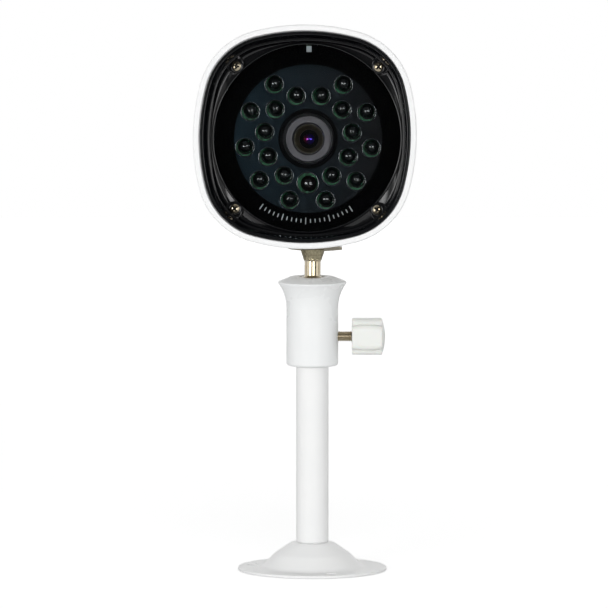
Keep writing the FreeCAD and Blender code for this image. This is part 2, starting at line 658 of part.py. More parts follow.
# ================================================================ bezel and window
def front_bezel():
    inset = SHELL_WALL + BEZEL_GAP
    edge = RIM_HALF - DRAFT * BEZEL_FRONT - inset
    body = drafted(inset, BEZEL_FRONT, BEZEL_BACK)
    run = CHAMFER_W - BEZEL_FRONT
    mouth = prism((2 * edge - CHAMFER_HALF, BEZEL_FRONT - run), (CHAMFER_HALF, CHAMFER_W))
    funnel = prism((CHAMFER_HALF, CHAMFER_W), (FUNNEL_HALF, FUNNEL_W))
    pocket = prism((FUNNEL_HALF, FUNNEL_W), (FUNNEL_HALF, POCKET_W))
    bosses = [disc(BEZEL_BOSS_R, BEZEL_BOSS_W, POCKET_W, u, v) for u, v in corners(BEZEL_SCREW_AT)]
    lip = disc(WINDOW_RING_R + WINDOW_RING_T, WINDOW_RING_W, POCKET_W)
    pocket = pocket.cut(bosses + [lip])
    seat_w = GLASS_W - GLASS_GASKET_T
    opening = disc(WINDOW_RING_R, FUNNEL_W, seat_w)
    bore = disc(GLASS_R + FIT_GAP, seat_w, BEZEL_BACK)
    holes = [disc(BEZEL_SCREW_R + 0.1, BEZEL_BOSS_W - 1, BEZEL_BACK + 1, u, v)
             for u, v in corners(BEZEL_SCREW_AT)]
    return body.cut([mouth, funnel, pocket, opening, bore] + holes)


def bezel_screws():
    return group([pan_screw(BEZEL_SCREW_R, BEZEL_SCREW_HEAD_R, BEZEL_SCREW_HEAD_H, BEZEL_BOSS_W,
                            BEZEL_SCREW_LENGTH, u, v) for u, v in corners(BEZEL_SCREW_AT)])


def window_glass():
    return disc(GLASS_R, GLASS_W, GLASS_W + GLASS_T)


def window_gasket():
    return ring(GLASS_R, WINDOW_RING_R + 0.1, GLASS_W - GLASS_GASKET_T, GLASS_W)


def status_slot(margin):
    half = STATUS_WIDTH / 2 + margin
    return block(-half, half, GLASS_W + GLASS_T, PLATE_W, STATUS_LOW - margin, STATUS_HIGH + margin)


def window_mask():
    """Black border printed on the back of the glass."""
    back = GLASS_W + GLASS_T
    return ring(GLASS_R - 0.3, CLEAR_R, back, back + MASK_T).cut(status_slot(0))


def status_window():
    return status_slot(0)


def window_retainer():
    """Threaded ring that presses on the glass and carries the infrared plate and board."""
    outer = GLASS_R
    turn_end = RETAINER_W + RETAINER_TURN
    plate_back = PLATE_W + PLATE_T
    board_back = BOARD_W + BOARD_T
    body = turned_w([(outer, RETAINER_W), (outer, turn_end), (RETAINER_BACK_R, turn_end + 0.6),
                     (RETAINER_BACK_R, board_back + 0.8), (LED_BOARD_R + FIT_GAP, board_back + 0.8),
                     (LED_BOARD_R + FIT_GAP, BOARD_W), (SHELF_R, BOARD_W), (SHELF_R, plate_back),
                     (PLATE_R + FIT_GAP, plate_back), (PLATE_R + FIT_GAP, RETAINER_W)])
    pads = [disc(PAD_R, plate_back, BOARD_W, *spot) for spot in pad_spots()]
    holes = [disc(BEZEL_SCREW_R + THREAD_GAP, plate_back + 1, BOARD_W + 1, *spot) for spot in pad_spots()]
    return merge([body] + pads).cut(holes + [status_slot(0.1)])


def pad_spots():
    return [polar(PAD_AT, PAD_START + 120 * k) for k in range(3)]


# ================================================================ infrared ring
def led_spots():
    inner = [polar(INNER_RING_R, 270 + RING_STEP * k) for k in range(1, 11)]
    outer = [polar(OUTER_RING_R, 270 + RING_STEP * (k + 0.5)) for k in range(11) if k != 5]
    return inner + outer


def light_sensor_spot():
    return polar(INNER_RING_R, 270)


def led_cover_plate():
    holes = [disc(LED_HOLE_R, PLATE_W, PLATE_W + PLATE_T, u, v) for u, v in led_spots()]
    holes.append(disc(SENSOR_HOLE_R, PLATE_W, PLATE_W + PLATE_T, *light_sensor_spot()))
    holes.append(disc(LENS_HOLE_R, PLATE_W, PLATE_W + PLATE_T))
    return disc(PLATE_R, PLATE_W, PLATE_W + PLATE_T).cut(holes)


def led_board():
    board = ring(LED_BOARD_R, LED_BOARD_HOLE_R, BOARD_W, BOARD_W + BOARD_T)
    spots = pad_spots()
    holes = [disc(BEZEL_SCREW_R + HOLE_GAP, BOARD_W, BOARD_W + BOARD_T, *spot) for spot in spots]
    holes += [disc(PCB_SCREW_R + HOLE_GAP, BOARD_W, BOARD_W + BOARD_T, *spot) for spot in STANDOFF_SPOTS]
    return board.cut(holes)


def led_board_screws():
    back = BOARD_W + BOARD_T
    return group([pan_screw(BEZEL_SCREW_R, 1.9, 1.3, back, 4.5, *spot, facing=1) for spot in pad_spots()])


def ir_led(u, v):
    tip = LED_DOME_W - LED_R
    bow = LED_R * math.sqrt(0.5)
    return turned_w([(0, tip), (bow, LED_DOME_W - bow, LED_R, LED_DOME_W),
                     (LED_R, BOARD_W - LED_FLANGE_T), (LED_FLANGE_R, BOARD_W - LED_FLANGE_T),
                     (LED_FLANGE_R, BOARD_W), (0, BOARD_W)], u, v)


def ir_leds():
    return group([ir_led(u, v) for u, v in led_spots()])


def light_sensor():
    u, v = light_sensor_spot()
    return turned_w([(0, 17.4), (2.5, 17.8), (3.0, 18.4), (3.0, BOARD_W), (0, BOARD_W)], u, v)


def lens_light_shield():
    """Foam sleeve that keeps the infrared light out of the lens."""
    return ring(SHIELD_R, BARREL_R + FIT_GAP, PLATE_W + PLATE_T, BOARD_W)


# ================================================================ lens
def lens_barrel():
    """Lens hood, seats for the front ring and the cone, and the M12 thread behind."""
    cone_back = CONE_END
    return turned_w([(BARREL_R - 0.3, BARREL_FRONT), (BARREL_R, BARREL_FRONT + 0.3),
                     (BARREL_R, BARREL_HOOD_END),
                     (M12_R + 1.9, BARREL_HOOD_END), (M12_R + 1.9, BARREL_HOOD_END + 3.0),
                     (M12_R, BARREL_HOOD_END + 3.0), (M12_R, BARREL_END), (3.4, BARREL_END),
                     (3.4, BARREL_END - 4.0), (4.2, BARREL_END - 4.0), (4.2, cone_back + 3.4),
                     (LENS_BORE_R, cone_back + 3.4), (LENS_BORE_R, FRONT_RING_W + 1.0),
                     (FRONT_RING_R + FIT_GAP, FRONT_RING_W + 1.0), (FRONT_RING_R + FIT_GAP, BARREL_FRONT)])


def lens_front_ring():
    w = FRONT_RING_W
    return turned_w([(FRONT_RING_BORE + 0.5, w), (FRONT_RING_R, w), (FRONT_RING_R, w + 1.0),
                     (FRONT_RING_BORE, w + 1.0), (FRONT_RING_BORE, w + 0.5)])


def lens_inner_cone():
    rim = LENS_BORE_R - FIT_GAP
    return turned_w([(rim, CONE_W), (rim, CONE_END), (CONE_R, CONE_END), (CONE_R, CONE_END - 0.3),
                     (rim - 0.4, CONE_W)])


def lens_front_element():
    """Plano-convex glass whose crown stands in the cone's opening."""
    rim = LENS_BORE_R - FIT_GAP
    return turned_w([(0, CONE_END - 0.2), (CONE_R * 0.55, CONE_END - 0.05, CONE_R - 0.1, CONE_END + 0.15),
                     (rim, CONE_END + 0.15), (rim, CONE_END + 2.6), (0, CONE_END + 2.6)])


def lens_rear_element():
    w = BARREL_END - 6.5
    return turned_w([(0, w - 0.9), (2.4, w - 0.5, 4.15, w), (4.15, w + 2.5), (0, w + 2.5)])


def lens_lock_ring():
    return ring(8.2, M12_R + THREAD_GAP, 31.0, 33.2)


def lens_holder():
    """Square foot on the sensor board with the threaded tube for the lens."""
    tube = disc(8.0, 33.2, 39.0)
    foot = block(-9, 9, 38.5, SENSOR_BOARD_W, -9, 9)
    half = HOLDER_CAVITY / 2
    cavity = block(-half, half, HOLDER_CAVITY_W, SENSOR_BOARD_W, -half, half)
    thread = disc(M12_R + THREAD_GAP, 33.0, HOLDER_CAVITY_W)
    screws = [disc(HOLDER_SCREW_R + THREAD_GAP, 40.0, SENSOR_BOARD_W, u, 0) for u in holder_screw_spots()]
    return merge([tube, foot]).cut([cavity, thread] + screws)


def holder_screw_spots():
    return [-HOLDER_SCREW_AT, HOLDER_SCREW_AT]


def lens_holder_screws():
    back = SENSOR_BOARD_W + BOARD_T
    return group([pan_screw(HOLDER_SCREW_R, 1.8, 1.2, back, 5.0, u, 0, facing=1)
                  for u in holder_screw_spots()])


def ir_filter():
    half = HOLDER_CAVITY / 2 - FIT_GAP
    return block(-half, half, HOLDER_CAVITY_W, HOLDER_CAVITY_W + 0.6, -half, half)


def image_sensor():
    return block(-4.6, 4.6, SENSOR_BOARD_W - 1.2, SENSOR_BOARD_W, -4.2, 4.2)


# ================================================================ boards
def stacked_board(size, w, extra_holes):
    half_u, half_v = size[0] / 2, size[1] / 2
    board = block(-half_u, half_u, w, w + BOARD_T, -half_v, half_v)
    holes = [disc(PCB_SCREW_R + HOLE_GAP, w, w + BOARD_T, *spot) for spot in STANDOFF_SPOTS]
    return board.cut(holes + extra_holes)


def sensor_board():
    holes = [disc(HOLDER_SCREW_R + HOLE_GAP, SENSOR_BOARD_W, SENSOR_BOARD_W + BOARD_T, u, 0)
             for u in holder_screw_spots()]
    return stacked_board(SENSOR_BOARD, SENSOR_BOARD_W, holes)


def main_board():
    return stacked_board(MAIN_BOARD, MAIN_BOARD_W, [])


def main_board_parts():
    """Processor, memory, converter and plug sockets on both faces of the main board."""
    front, back = MAIN_BOARD_W, MAIN_BOARD_W + BOARD_T
    chips = [block(-6, 6, front - 1.2, front, 0, 12), block(8, 16, front - 1.0, front, -6, 4),
             block(-16, -7, back, back + 1.1, -8, 2), block(6, 14, back, back + 4.0, 6, 13)]
    cans = [disc(3.0, back, back + 7.5, u, 7) for u in (-16, -8, 0)]
    sockets = [block(-5, 5, back, back + 5.5, -19, -14), block(-5, 5, front - 3.0, front, -22.6, -19.8)]
    return group(chips + cans + sockets)


def board_standoffs():
    """Hexagonal-pillar spacers, as round bars: board to board along the optical axis."""
    gap_front = (BOARD_W + BOARD_T, SENSOR_BOARD_W)
    gap_back = (SENSOR_BOARD_W + BOARD_T, MAIN_BOARD_W)
    return group([ring(STANDOFF_R, PCB_SCREW_R + THREAD_GAP, w0, w1, *spot)
                  for spot in STANDOFF_SPOTS for w0, w1 in (gap_front, gap_back)])


def board_screws():
    """Front screws under the infrared plate, and long rear screws that clamp both spacers."""
    front = [pan_screw(PCB_SCREW_R, PCB_HEAD_R, PCB_HEAD_H, BOARD_W, 9.0, *spot)
             for spot in STANDOFF_SPOTS]
    rear = [pan_screw(PCB_SCREW_R, PCB_HEAD_R, PCB_HEAD_H, MAIN_BOARD_W + BOARD_T, 22.0, *spot, facing=1)
            for spot in STANDOFF_SPOTS]
    return group(front + rear)


def led_harness():
    """Ribbon from the plug socket of the infrared board to that of the main board."""
    v = -21.2
    plug = block(-5, 5, BOARD_W + BOARD_T, BOARD_W + BOARD_T + 3.0, v - 1.4, v + 1.4)
    ribbon = block(-4, 4, BOARD_W + BOARD_T + 3.0, MAIN_BOARD_W - 3.0, v - 0.4, v + 0.4)
    return merge([plug, ribbon])


# ================================================================ assembly
BRACKET_PIECES = [base_flange, post_tube, post_foot_plug, foot_washer, foot_screw, ball_seat,
                  clamp_collar, clamp_shoe, thumb_screw, thumb_knob]
HEAD_PIECES = [mount_plate, mount_plate_screws, mount_insert, housing_shell, front_gasket,
               rear_gasket, rear_cover, rear_cover_screws, gland_body, gland_washer, gland_lock_nut,
               gland_dome_nut, gland_seal, front_bezel, bezel_screws, window_glass, window_gasket,
               window_mask, status_window, window_retainer, led_cover_plate, led_board,
               led_board_screws, ir_leds, light_sensor, lens_light_shield, lens_barrel,
               lens_front_ring, lens_inner_cone, lens_front_element, lens_rear_element,
               lens_lock_ring, lens_holder, lens_holder_screws, ir_filter, image_sensor,
               sensor_board, main_board, main_board_parts, board_standoffs, board_screws, led_harness]


def write(piece, pose):
    shape = piece()
    shape.Placement = pose * shape.Placement
    shape.exportStep("parts/%s.step" % piece.__name__)
    solids = len(shape.Solids)
    print("%-20s %2d solid(s) %9.1f mm3 valid=%s" % (piece.__name__, solids, shape.Volume, shape.isValid()))


os.makedirs("parts", exist_ok=True)
for bracket_piece in BRACKET_PIECES:
    write(bracket_piece, Placement())
write(ball_stud, BALL_POSE)
for head_piece in HEAD_PIECES:
    write(head_piece, HEAD_POSE)
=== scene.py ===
# %% [markdown]
# A weatherproof camera on a small table or wall bracket: a white housing with a black front, a
# nickel ball stud, and a clamp collar on a post.  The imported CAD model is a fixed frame.  It says
# where every piece sits and what moves with what.  This lesson dresses that frame: pieces that show
# are built again with rounded edges and fine detail, and every piece gets a finish made of nodes.

import json
import math

import bmesh
import bpy
from mathutils import Matrix, Vector


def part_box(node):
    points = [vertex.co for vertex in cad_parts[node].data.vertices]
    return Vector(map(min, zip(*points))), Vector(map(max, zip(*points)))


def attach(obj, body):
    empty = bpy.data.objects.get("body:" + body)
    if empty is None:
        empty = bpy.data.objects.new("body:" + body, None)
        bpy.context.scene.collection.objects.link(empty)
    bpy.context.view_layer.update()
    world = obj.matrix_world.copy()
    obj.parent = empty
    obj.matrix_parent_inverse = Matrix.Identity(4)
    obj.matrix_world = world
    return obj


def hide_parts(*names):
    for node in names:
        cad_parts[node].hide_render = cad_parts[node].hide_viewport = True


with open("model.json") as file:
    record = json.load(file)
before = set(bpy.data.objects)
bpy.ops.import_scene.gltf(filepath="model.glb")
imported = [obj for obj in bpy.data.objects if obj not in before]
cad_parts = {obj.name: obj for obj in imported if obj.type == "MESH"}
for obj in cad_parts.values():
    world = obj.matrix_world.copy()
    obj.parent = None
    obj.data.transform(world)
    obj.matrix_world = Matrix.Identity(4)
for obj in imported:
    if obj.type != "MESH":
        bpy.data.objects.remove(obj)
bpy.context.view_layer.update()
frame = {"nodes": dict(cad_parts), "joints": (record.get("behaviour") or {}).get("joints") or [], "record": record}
body_of = {node: body for body, members in frame["record"]["behaviour"]["bodies"].items()
           for node in members}
print("CAD nodes:", len(body_of))

# %% [markdown]
# Two drawing frames, both in millimetres.  The bracket stands upright, so its pieces are drawn in
# the model's own axes.  The camera head leans and turns on its ball, so its pieces are drawn
# looking straight at the front: u to the right, v up, w backwards from the front rim.  The parts
# under its belly are drawn in the same place with w and v changed over.  The joints give the
# ball's centre and the directions, so nothing has to be fitted by eye.

# %% Drawing frames
MM = 0.001
PLATE_ABOVE_BALL = 13.25
AXIS_ABOVE_PLATE = 40.15
STUD_BEHIND_RIM = 40.0

joints = {joint["name"]: joint for joint in frame["joints"]}
ball = Vector(joints["tilt_lean"]["pos_m"])
across = Vector(joints["tilt_lean"]["axis"])
upward = Vector(joints["head_spin"]["axis"])
backward = upward.cross(across)

BRACKET = Matrix.Scale(MM, 4)
TURN = Matrix((across, upward, backward)).transposed().to_4x4()
HEAD = (Matrix.Translation(ball) @ TURN @ BRACKET
        @ Matrix.Translation((0, PLATE_ABOVE_BALL + AXIS_ABOVE_PLATE, -STUD_BEHIND_RIM)))
STUD = Matrix.Translation(ball) @ TURN @ Matrix.Rotation(math.radians(-90), 4, "X") @ BRACKET
UNDER_HEAD = HEAD @ Matrix(((1, 0, 0, 0), (0, 0, 1, 0), (0, 1, 0, 0), (0, 0, 0, 1)))
ALONG_X = Matrix.Rotation(math.pi / 2, 4, "Y")      # turns a piece drawn about Z on to the X axis
HERE = Matrix.Identity(4)
print("rim centre", [round(value, 4) for value in HEAD.translation])


def head_at(u, v):
    return HEAD @ Matrix.Translation((u, v, 0))


# %% [markdown]
# Finishes come first, because every piece is given one as it is made.  Colours are written as the
# eye knows them, in sRGB hex, and one function turns them into the linear light that shaders use.
# One more function adds a node with its settings and links, and all the finishes are built from it.

# %% Colours and nodes
def hex_colour(code):
    """Linear RGBA of an sRGB colour such as F2F2F0."""
    channels = [int(code[k:k + 2], 16) / 255 for k in (0, 2, 4)]
    linear = [c / 12.92 if c <= 0.04045 else ((c + 0.055) / 1.055) ** 2.4 for c in channels]
    return (*linear, 1.0)


def add(tree, kind, values=None, links=None, **settings):
    """A new node of this kind, with its socket values, incoming links and settings."""
    node = tree.nodes.new(kind)
    for name, value in settings.items():
        setattr(node, name, value)
    for socket, value in (values or {}).items():
        node.inputs[socket].default_value = value
    for socket, source in (links or {}).items():
        tree.links.new(source, node.inputs[socket])
    return node


FINISHES = {}
MIX_A, MIX_B, MIX_OUT = 6, 7, 2     # colour sockets of the Mix node

# %% [markdown]
# A real surface is never one flat colour.  Its tone drifts a little in patches, its gloss drifts
# too, and it has a grain: the orange peel of a powder coat, or the spark texture of a mould.  So
# most finishes here share one recipe, with sizes in millimetres: soft patches between two close
# tones, gloss that follows them, and a grain that tilts the surface by a few microns.

# %% The shared recipe
def grained(slot, name, light, dark, rough, patch=14.0, grain=1.4, depth=6.0, **sockets):
    """A finish that drifts between two tones, with a grain (mm) of some depth (microns)."""
    material = bpy.data.materials.new(name)
    material.use_nodes = True
    tree = material.node_tree
    shader = tree.nodes["Principled BSDF"]
    place = add(tree, "ShaderNodeTexCoord").outputs["Object"]
    drift = add(tree, "ShaderNodeTexNoise", {"Scale": 1 / (patch * MM), "Detail": 3.0},
                {"Vector": place})
    tone = add(tree, "ShaderNodeMix", {MIX_A: hex_colour(dark), MIX_B: hex_colour(light)},
               {0: drift.outputs["Fac"]}, data_type="RGBA")
    gloss = add(tree, "ShaderNodeMapRange", {"To Min": rough[0], "To Max": rough[1]},
                {"Value": drift.outputs["Fac"]})
    peel = add(tree, "ShaderNodeTexNoise", {"Scale": 1 / (grain * MM), "Detail": 2.0},
               {"Vector": place})
    bump = add(tree, "ShaderNodeBump", {"Distance": depth * 1e-6}, {"Height": peel.outputs["Fac"]})
    tree.links.new(tone.outputs[MIX_OUT], shader.inputs["Base Color"])
    tree.links.new(gloss.outputs["Result"], shader.inputs["Roughness"])
    tree.links.new(bump.outputs["Normal"], shader.inputs["Normal"])
    for socket, value in sockets.items():
        shader.inputs[socket.replace("_", " ")].default_value = value
    FINISHES[slot] = material
    return material


def nodes_of(material):
    """A finish's node tree, its shader, and the place on the object."""
    tree = material.node_tree
    place = next(node for node in tree.nodes if node.type == "TEX_COORD").outputs["Object"]
    return tree, tree.nodes["Principled BSDF"], place


def share_across(tree, place, left, right):
    """How far a point lies from one X to another (mm), from 0 to 1."""
    side = add(tree, "ShaderNodeSeparateXYZ", links={0: place}).outputs["X"]
    return add(tree, "ShaderNodeMapRange", {"From Min": left * MM, "From Max": right * MM},
               {"Value": side}).outputs["Result"]


def fade_to(tree, shader, colour, share):
    """Fades a finish's colour to another one by a share from 0 to 1."""
    now = shader.inputs["Base Color"].links[0].from_socket
    mixed = add(tree, "ShaderNodeMix", {MIX_B: hex_colour(colour)}, {0: share, MIX_A: now},
                data_type="RGBA")
    tree.links.new(mixed.outputs[MIX_OUT], shader.inputs["Base Color"])


# %% [markdown]
# The white parts.  Base and post are mild steel with a polyester powder coat, baked on: smooth,
# half gloss, with a faint orange peel.  The collar is turned and coated the same way, a little
# glossier.  The housing is a die-cast aluminium shell with a finer satin coat, and the knob is
# moulded nylon, which is a touch warmer.  White paint is never pure white: about 88 % comes back.

# %% White finishes
grained("white_powder_steel", "powder_coated_steel_white", "F3F3F2", "EDEEEE", (0.30, 0.40),
        grain=1.8, depth=9.0, Specular_IOR_Level=0.3)
grained("white_powder_collar", "powder_coated_collar_white", "F1F2F2", "EBEDED", (0.24, 0.32),
        grain=1.6, depth=6.0, Specular_IOR_Level=0.35)
grained("white_housing", "satin_coated_aluminium_white", "F0F0F0", "ECEDED", (0.36, 0.46),
        grain=0.9, depth=4.0)
grained("white_knob_plastic", "moulded_nylon_white", "F0F0EC", "E8E8E3", (0.28, 0.38),
        grain=1.1, depth=5.0, Subsurface_Weight=0.08, Subsurface_Scale=0.002)
grained("natural_nylon", "natural_nylon", "E2DFD3", "D6D2C4", (0.38, 0.5), grain=0.8, depth=6.0,
        Subsurface_Weight=0.12, Subsurface_Scale=0.002)
grained("status_diffuser", "milky_light_pipe", "8E9196", "7C7F84", (0.2, 0.3), grain=0.6,
        depth=2.0, Subsurface_Weight=0.3, Subsurface_Scale=0.001)

# %% [markdown]
# The black parts.  The bezel is gloss polycarbonate from a polished mould.  The parts behind the
# window are matt so that they throw no stray light into the lens, and the gaskets are silicone.

# %% Black finishes
grained("bezel_black", "gloss_polycarbonate_black", "0A0B0E", "060709", (0.06, 0.12), patch=22.0,
        grain=2.6, depth=1.0, Specular_IOR_Level=0.5)
grained("inner_black", "matt_polycarbonate_black", "17171A", "101012", (0.45, 0.6), grain=0.4,
        depth=8.0)
grained("plate_lips", "glossy_painted_edge", "10171A", "0B0F11", (0.12, 0.2), grain=0.5, depth=1.0,
        Specular_IOR_Level=1.0)
grained("mask_ink", "screen_printed_ink_black", "030304", "020202", (0.3, 0.4), grain=0.5,
        depth=1.0, Specular_IOR_Level=0.0)
grained("black_rubber", "silicone_rubber_black", "1B1B1C", "121213", (0.6, 0.75), grain=0.5,
        depth=14.0)
grained("chip_black", "epoxy_package_black", "26262A", "1B1B1E", (0.5, 0.65), grain=0.25, depth=6.0)
grained("led_epoxy", "smoke_dark_epoxy", "070A0B", "040506", (0.02, 0.04), grain=3.0, depth=0.2,
        Specular_IOR_Level=0.85)
grained("sensor_epoxy", "light_sensor_epoxy", "0D0A0A", "070505", (0.03, 0.05), grain=3.0,
        depth=0.2, Specular_IOR_Level=0.8)
grained("lens_black", "black_anodised_aluminium", "0E0E10", "09090A", (0.3, 0.42), grain=0.3,
        depth=4.0, Specular_IOR_Level=0.15)
grained("foam_black", "closed_cell_foam_black", "080809", "050506", (0.8, 0.9), grain=0.4,
        depth=20.0, Specular_IOR_Level=0.05)
grained("ribbon_grey", "ribbon_cable_grey", "B4B5B9", "A4A5A9", (0.4, 0.5), grain=0.6, depth=20.0)
grained("sensor_die", "sensor_package", "5F6370", "454956", (0.2, 0.3), grain=0.3, depth=2.0)

# %% [markdown]
# The infrared plate is thin sheet with a baked blue-black paint.  It looks teal on its left and
# grey-black on its right, because the light on it changes.  A mix of two colours by place gives
# that, and it is far cheaper than a painted picture.

# %% Infrared plate finish
def teal_to_grey(material):
    """Fades the plate's teal towards grey-black from its left side to its right side."""
    tree, shader, place = nodes_of(material)
    fade_to(tree, shader, "07070A", share_across(tree, place, -28, 22))


teal_to_grey(grained("infrared_plate", "painted_plate_blue_black", "061820", "061219", (0.45, 0.6),
                     patch=30.0, grain=0.5, depth=5.0, Specular_IOR_Level=0.06))
print("finishes so far:", len(FINISHES))

# %% [markdown]
# Metals.  Zinc plating on the hidden screws is bluish and slightly cloudy.  Nickel over brass on
# the ball stud and the clamp screw is warm, and brass shows where the plating is thin.  Turning
# leaves rings a few hundredths of a millimetre apart.  They are too fine to see here, so they are
# drawn 0.3 mm apart.  The knurl's finish mixes a bright tone with a very dark one in small random
# patches.  The dark tone is painted shade, standing in for the shade in its grooves.  The tripod
# plate is passivated, a dull yellow brown.  The lens rings are anodised: satin grey in front, dark
# bronze behind.

# %% Metal finishes
RINGS, WAVES_PER_SCALE = 0.3, 20    # ring spacing (mm); bands of a wave node at Scale 1


def turned_metal(slot, name, light, dark, rough, depth=3.0):
    """A metal with patches of a second tone and fine turning rings stacked along Z."""
    material = grained(slot, name, light, dark, rough, patch=3.0, grain=0.5, depth=2.0,
                       Metallic=1.0)
    tree, shader, place = nodes_of(material)
    grain_normal = shader.inputs["Normal"].links[0].from_socket
    turning = add(tree, "ShaderNodeTexWave", {"Scale": 1 / (RINGS * MM) / WAVES_PER_SCALE,
                                              "Distortion": 0.6, "Detail": 1.0},
                  {"Vector": place}, bands_direction="Z")
    marks = add(tree, "ShaderNodeBump", {"Distance": depth * 1e-6},
                {"Height": turning.outputs["Fac"], "Normal": grain_normal})
    tree.links.new(marks.outputs["Normal"], shader.inputs["Normal"])


turned_metal("nickel_brass", "nickel_plated_brass", "CFC9BA", "B5A27C", (0.12, 0.24))
# The knurl finish: its very dark tone is painted shade for the grooves, spread in small random patches.
grained("knurled_brass", "knurled_brass_painted_shade", "E0D6B4", "3E3520", (0.10, 0.2), patch=0.7,
        grain=0.4, depth=8.0, Metallic=1.0)
turned_metal("zinc_steel", "zinc_plated_steel", "C4C6C8", "A9ABAE", (0.25, 0.4))
turned_metal("lens_ring_grey", "satin_anodised_grey", "504D50", "444144", (0.38, 0.5), depth=1.0)
grained("plate_passivated", "passivated_zinc_plate", "8E8054", "5E5235", (0.35, 0.5), patch=4.0,
        grain=0.4, depth=6.0, Metallic=1.0)
grained("lens_cone_bronze", "dark_bronze_baffle", "2E281B", "201B12", (0.35, 0.5), grain=0.4,
        depth=3.0, Metallic=0.6)

# %% [markdown]
# The circuit boards are green solder mask over copper.  The copper lies 35 microns proud, so its
# tracks show as a lighter green.  A brick pattern a few millimetres long gives that look.

# %% Circuit board
def circuit_board():
    material = grained("green_board", "solder_mask_green", "1E5C3B", "154A2F", (0.25, 0.35),
                       grain=0.6, depth=4.0)
    tree, shader, place = nodes_of(material)
    black, white = hex_colour("000000"), hex_colour("FFFFFF")
    tracks = add(tree, "ShaderNodeTexBrick",
                 {"Scale": 1 / (4 * MM), "Mortar Size": 0.06, "Color1": black, "Color2": black,
                  "Mortar": white}, {"Vector": place})
    fade_to(tree, shader, "2E7A50", tracks.outputs["Color"])


circuit_board()

# %% [markdown]
# Glass.  The window has an anti-reflection coat on both faces, so it sends back well under one
# per cent instead of four: a low IOR on the mirror part gives that.  Lamps have to reach the parts
# behind it, so the glass is left out for shadow rays.  The small lens has a coat that sends back
# rose on one side and violet on the other.

# %% Glass finishes
def coated_glass(slot, name, tint, ior, rough):
    """Clear glass that lets lamp light through to what lies behind it."""
    material = grained(slot, name, tint, tint, (rough, rough * 1.5), patch=40.0, grain=8.0,
                       depth=0.2, Transmission_Weight=1.0, IOR=ior)
    tree, shader, place = nodes_of(material)
    lamps = add(tree, "ShaderNodeLightPath").outputs["Is Shadow Ray"]
    clear = add(tree, "ShaderNodeBsdfTransparent", {"Color": hex_colour(tint)}).outputs["BSDF"]
    either = add(tree, "ShaderNodeMixShader",
                 links={0: lamps, 1: shader.outputs["BSDF"], 2: clear})
    tree.links.new(either.outputs["Shader"], tree.nodes["Material Output"].inputs["Surface"])


coated_glass("window_clear", "coated_window_glass", "F4F8F8", 1.12, 0.0)
coated_glass("filter_glass", "infrared_filter_glass", "A9D6DC", 1.5, 0.02)


def violet_coat(material):
    """Tints the mirror part from rose on the left to blue-violet on the right of the lens."""
    tree, shader, place = nodes_of(material)
    tint = add(tree, "ShaderNodeMix", {MIX_A: hex_colour("FF4E7E"), MIX_B: hex_colour("7A5CFF")},
               {0: share_across(tree, place, -2.6, -1.3)}, data_type="RGBA")
    tree.links.new(tint.outputs[MIX_OUT], shader.inputs["Specular Tint"])


violet_coat(grained("lens_glass", "coated_lens_glass", "050407", "030204", (0.02, 0.04), grain=5.0,
                    depth=0.1, Specular_IOR_Level=1.0, IOR=2.0))
slots = {material["slot"] for material in frame["record"]["materials"]}
print("slots without a finish:", sorted(slots - set(FINISHES)))

# %% [markdown]
# Round pieces are turned on a lathe, and Spin does the same: half a section goes round an axis.
# Real corners are never sharp, and it is their rounding that catches the light, so a section's
# corner can carry a radius.  Spin leaves a seam and a heap of points at each pole, which merging
# by distance closes, and normals are made to point outwards after that.

# %% Sections and the lathe
def rounded(path, closed=True, steps=4):
    """Points along a path where a corner written (a, b, r) is rounded by r."""
    points = []
    for k, corner in enumerate(path):
        here = Vector(corner[:2])
        inside = closed or 0 < k < len(path) - 1
        if len(corner) == 2 or not inside:
            points.append(here)
            continue
        to_last = (Vector(path[k - 1][:2]) - here).normalized()
        to_next = (Vector(path[(k + 1) % len(path)][:2]) - here).normalized()
        half = to_last.angle(to_next) / 2
        centre = here + (to_last + to_next).normalized() * corner[2] / math.sin(half)
        reach = corner[2] / math.tan(half)
        start, end = here + to_last * reach - centre, here + to_next * reach - centre
        points += [centre + start.slerp(end, step / steps) * corner[2] for step in range(steps + 1)]
    return points


def lathe(path, segments=96):
    """A bmesh turned about Z from (radius, height); it is solid if the path starts on the axis."""
    solid = path[0][0] == 0
    mesh = bmesh.new()
    verts = [mesh.verts.new((r, 0, h)) for r, h in rounded(path, not solid)]
    edges = [mesh.edges.new(pair) for pair in zip(verts, verts[1:])]
    if not solid:
        edges.append(mesh.edges.new((verts[-1], verts[0])))
    bmesh.ops.spin(mesh, geom=verts + edges, axis=(0, 0, 1), cent=(0, 0, 0),
                   angle=math.tau, steps=segments, use_merge=True)
    bmesh.ops.remove_doubles(mesh, verts=mesh.verts, dist=1e-4)
    return mesh


def round_edges(mesh, edges, by, segments):
    """Rounds edges of a bmesh by a width in mm."""
    bmesh.ops.bevel(mesh, geom=edges, offset=by, offset_type="OFFSET", affect="EDGES",
                    segments=segments, profile=0.5, material=-1)


def add_copy(target, mesh, pose):
    """Adds a bmesh, placed by pose, to another bmesh."""
    bmesh.ops.transform(mesh, matrix=pose, verts=mesh.verts)
    blank = bpy.data.meshes.new("blank")
    mesh.to_mesh(blank)
    target.from_mesh(blank)
    bpy.data.meshes.remove(blank)
    mesh.free()


# %% [markdown]
# Every new piece is finished the same way: millimetres become metres in its place, normals point
# outwards, faces are smooth up to a crease angle, and flat faces keep flat shading beside small
# rounds.  Then the piece gets its finish, and it hides and moves with the node it stands for.

# %% Put a piece in place
def show(name, data):
    """A new object in the scene."""
    thing = bpy.data.objects.new(name, data)
    bpy.context.scene.collection.objects.link(thing)
    return thing


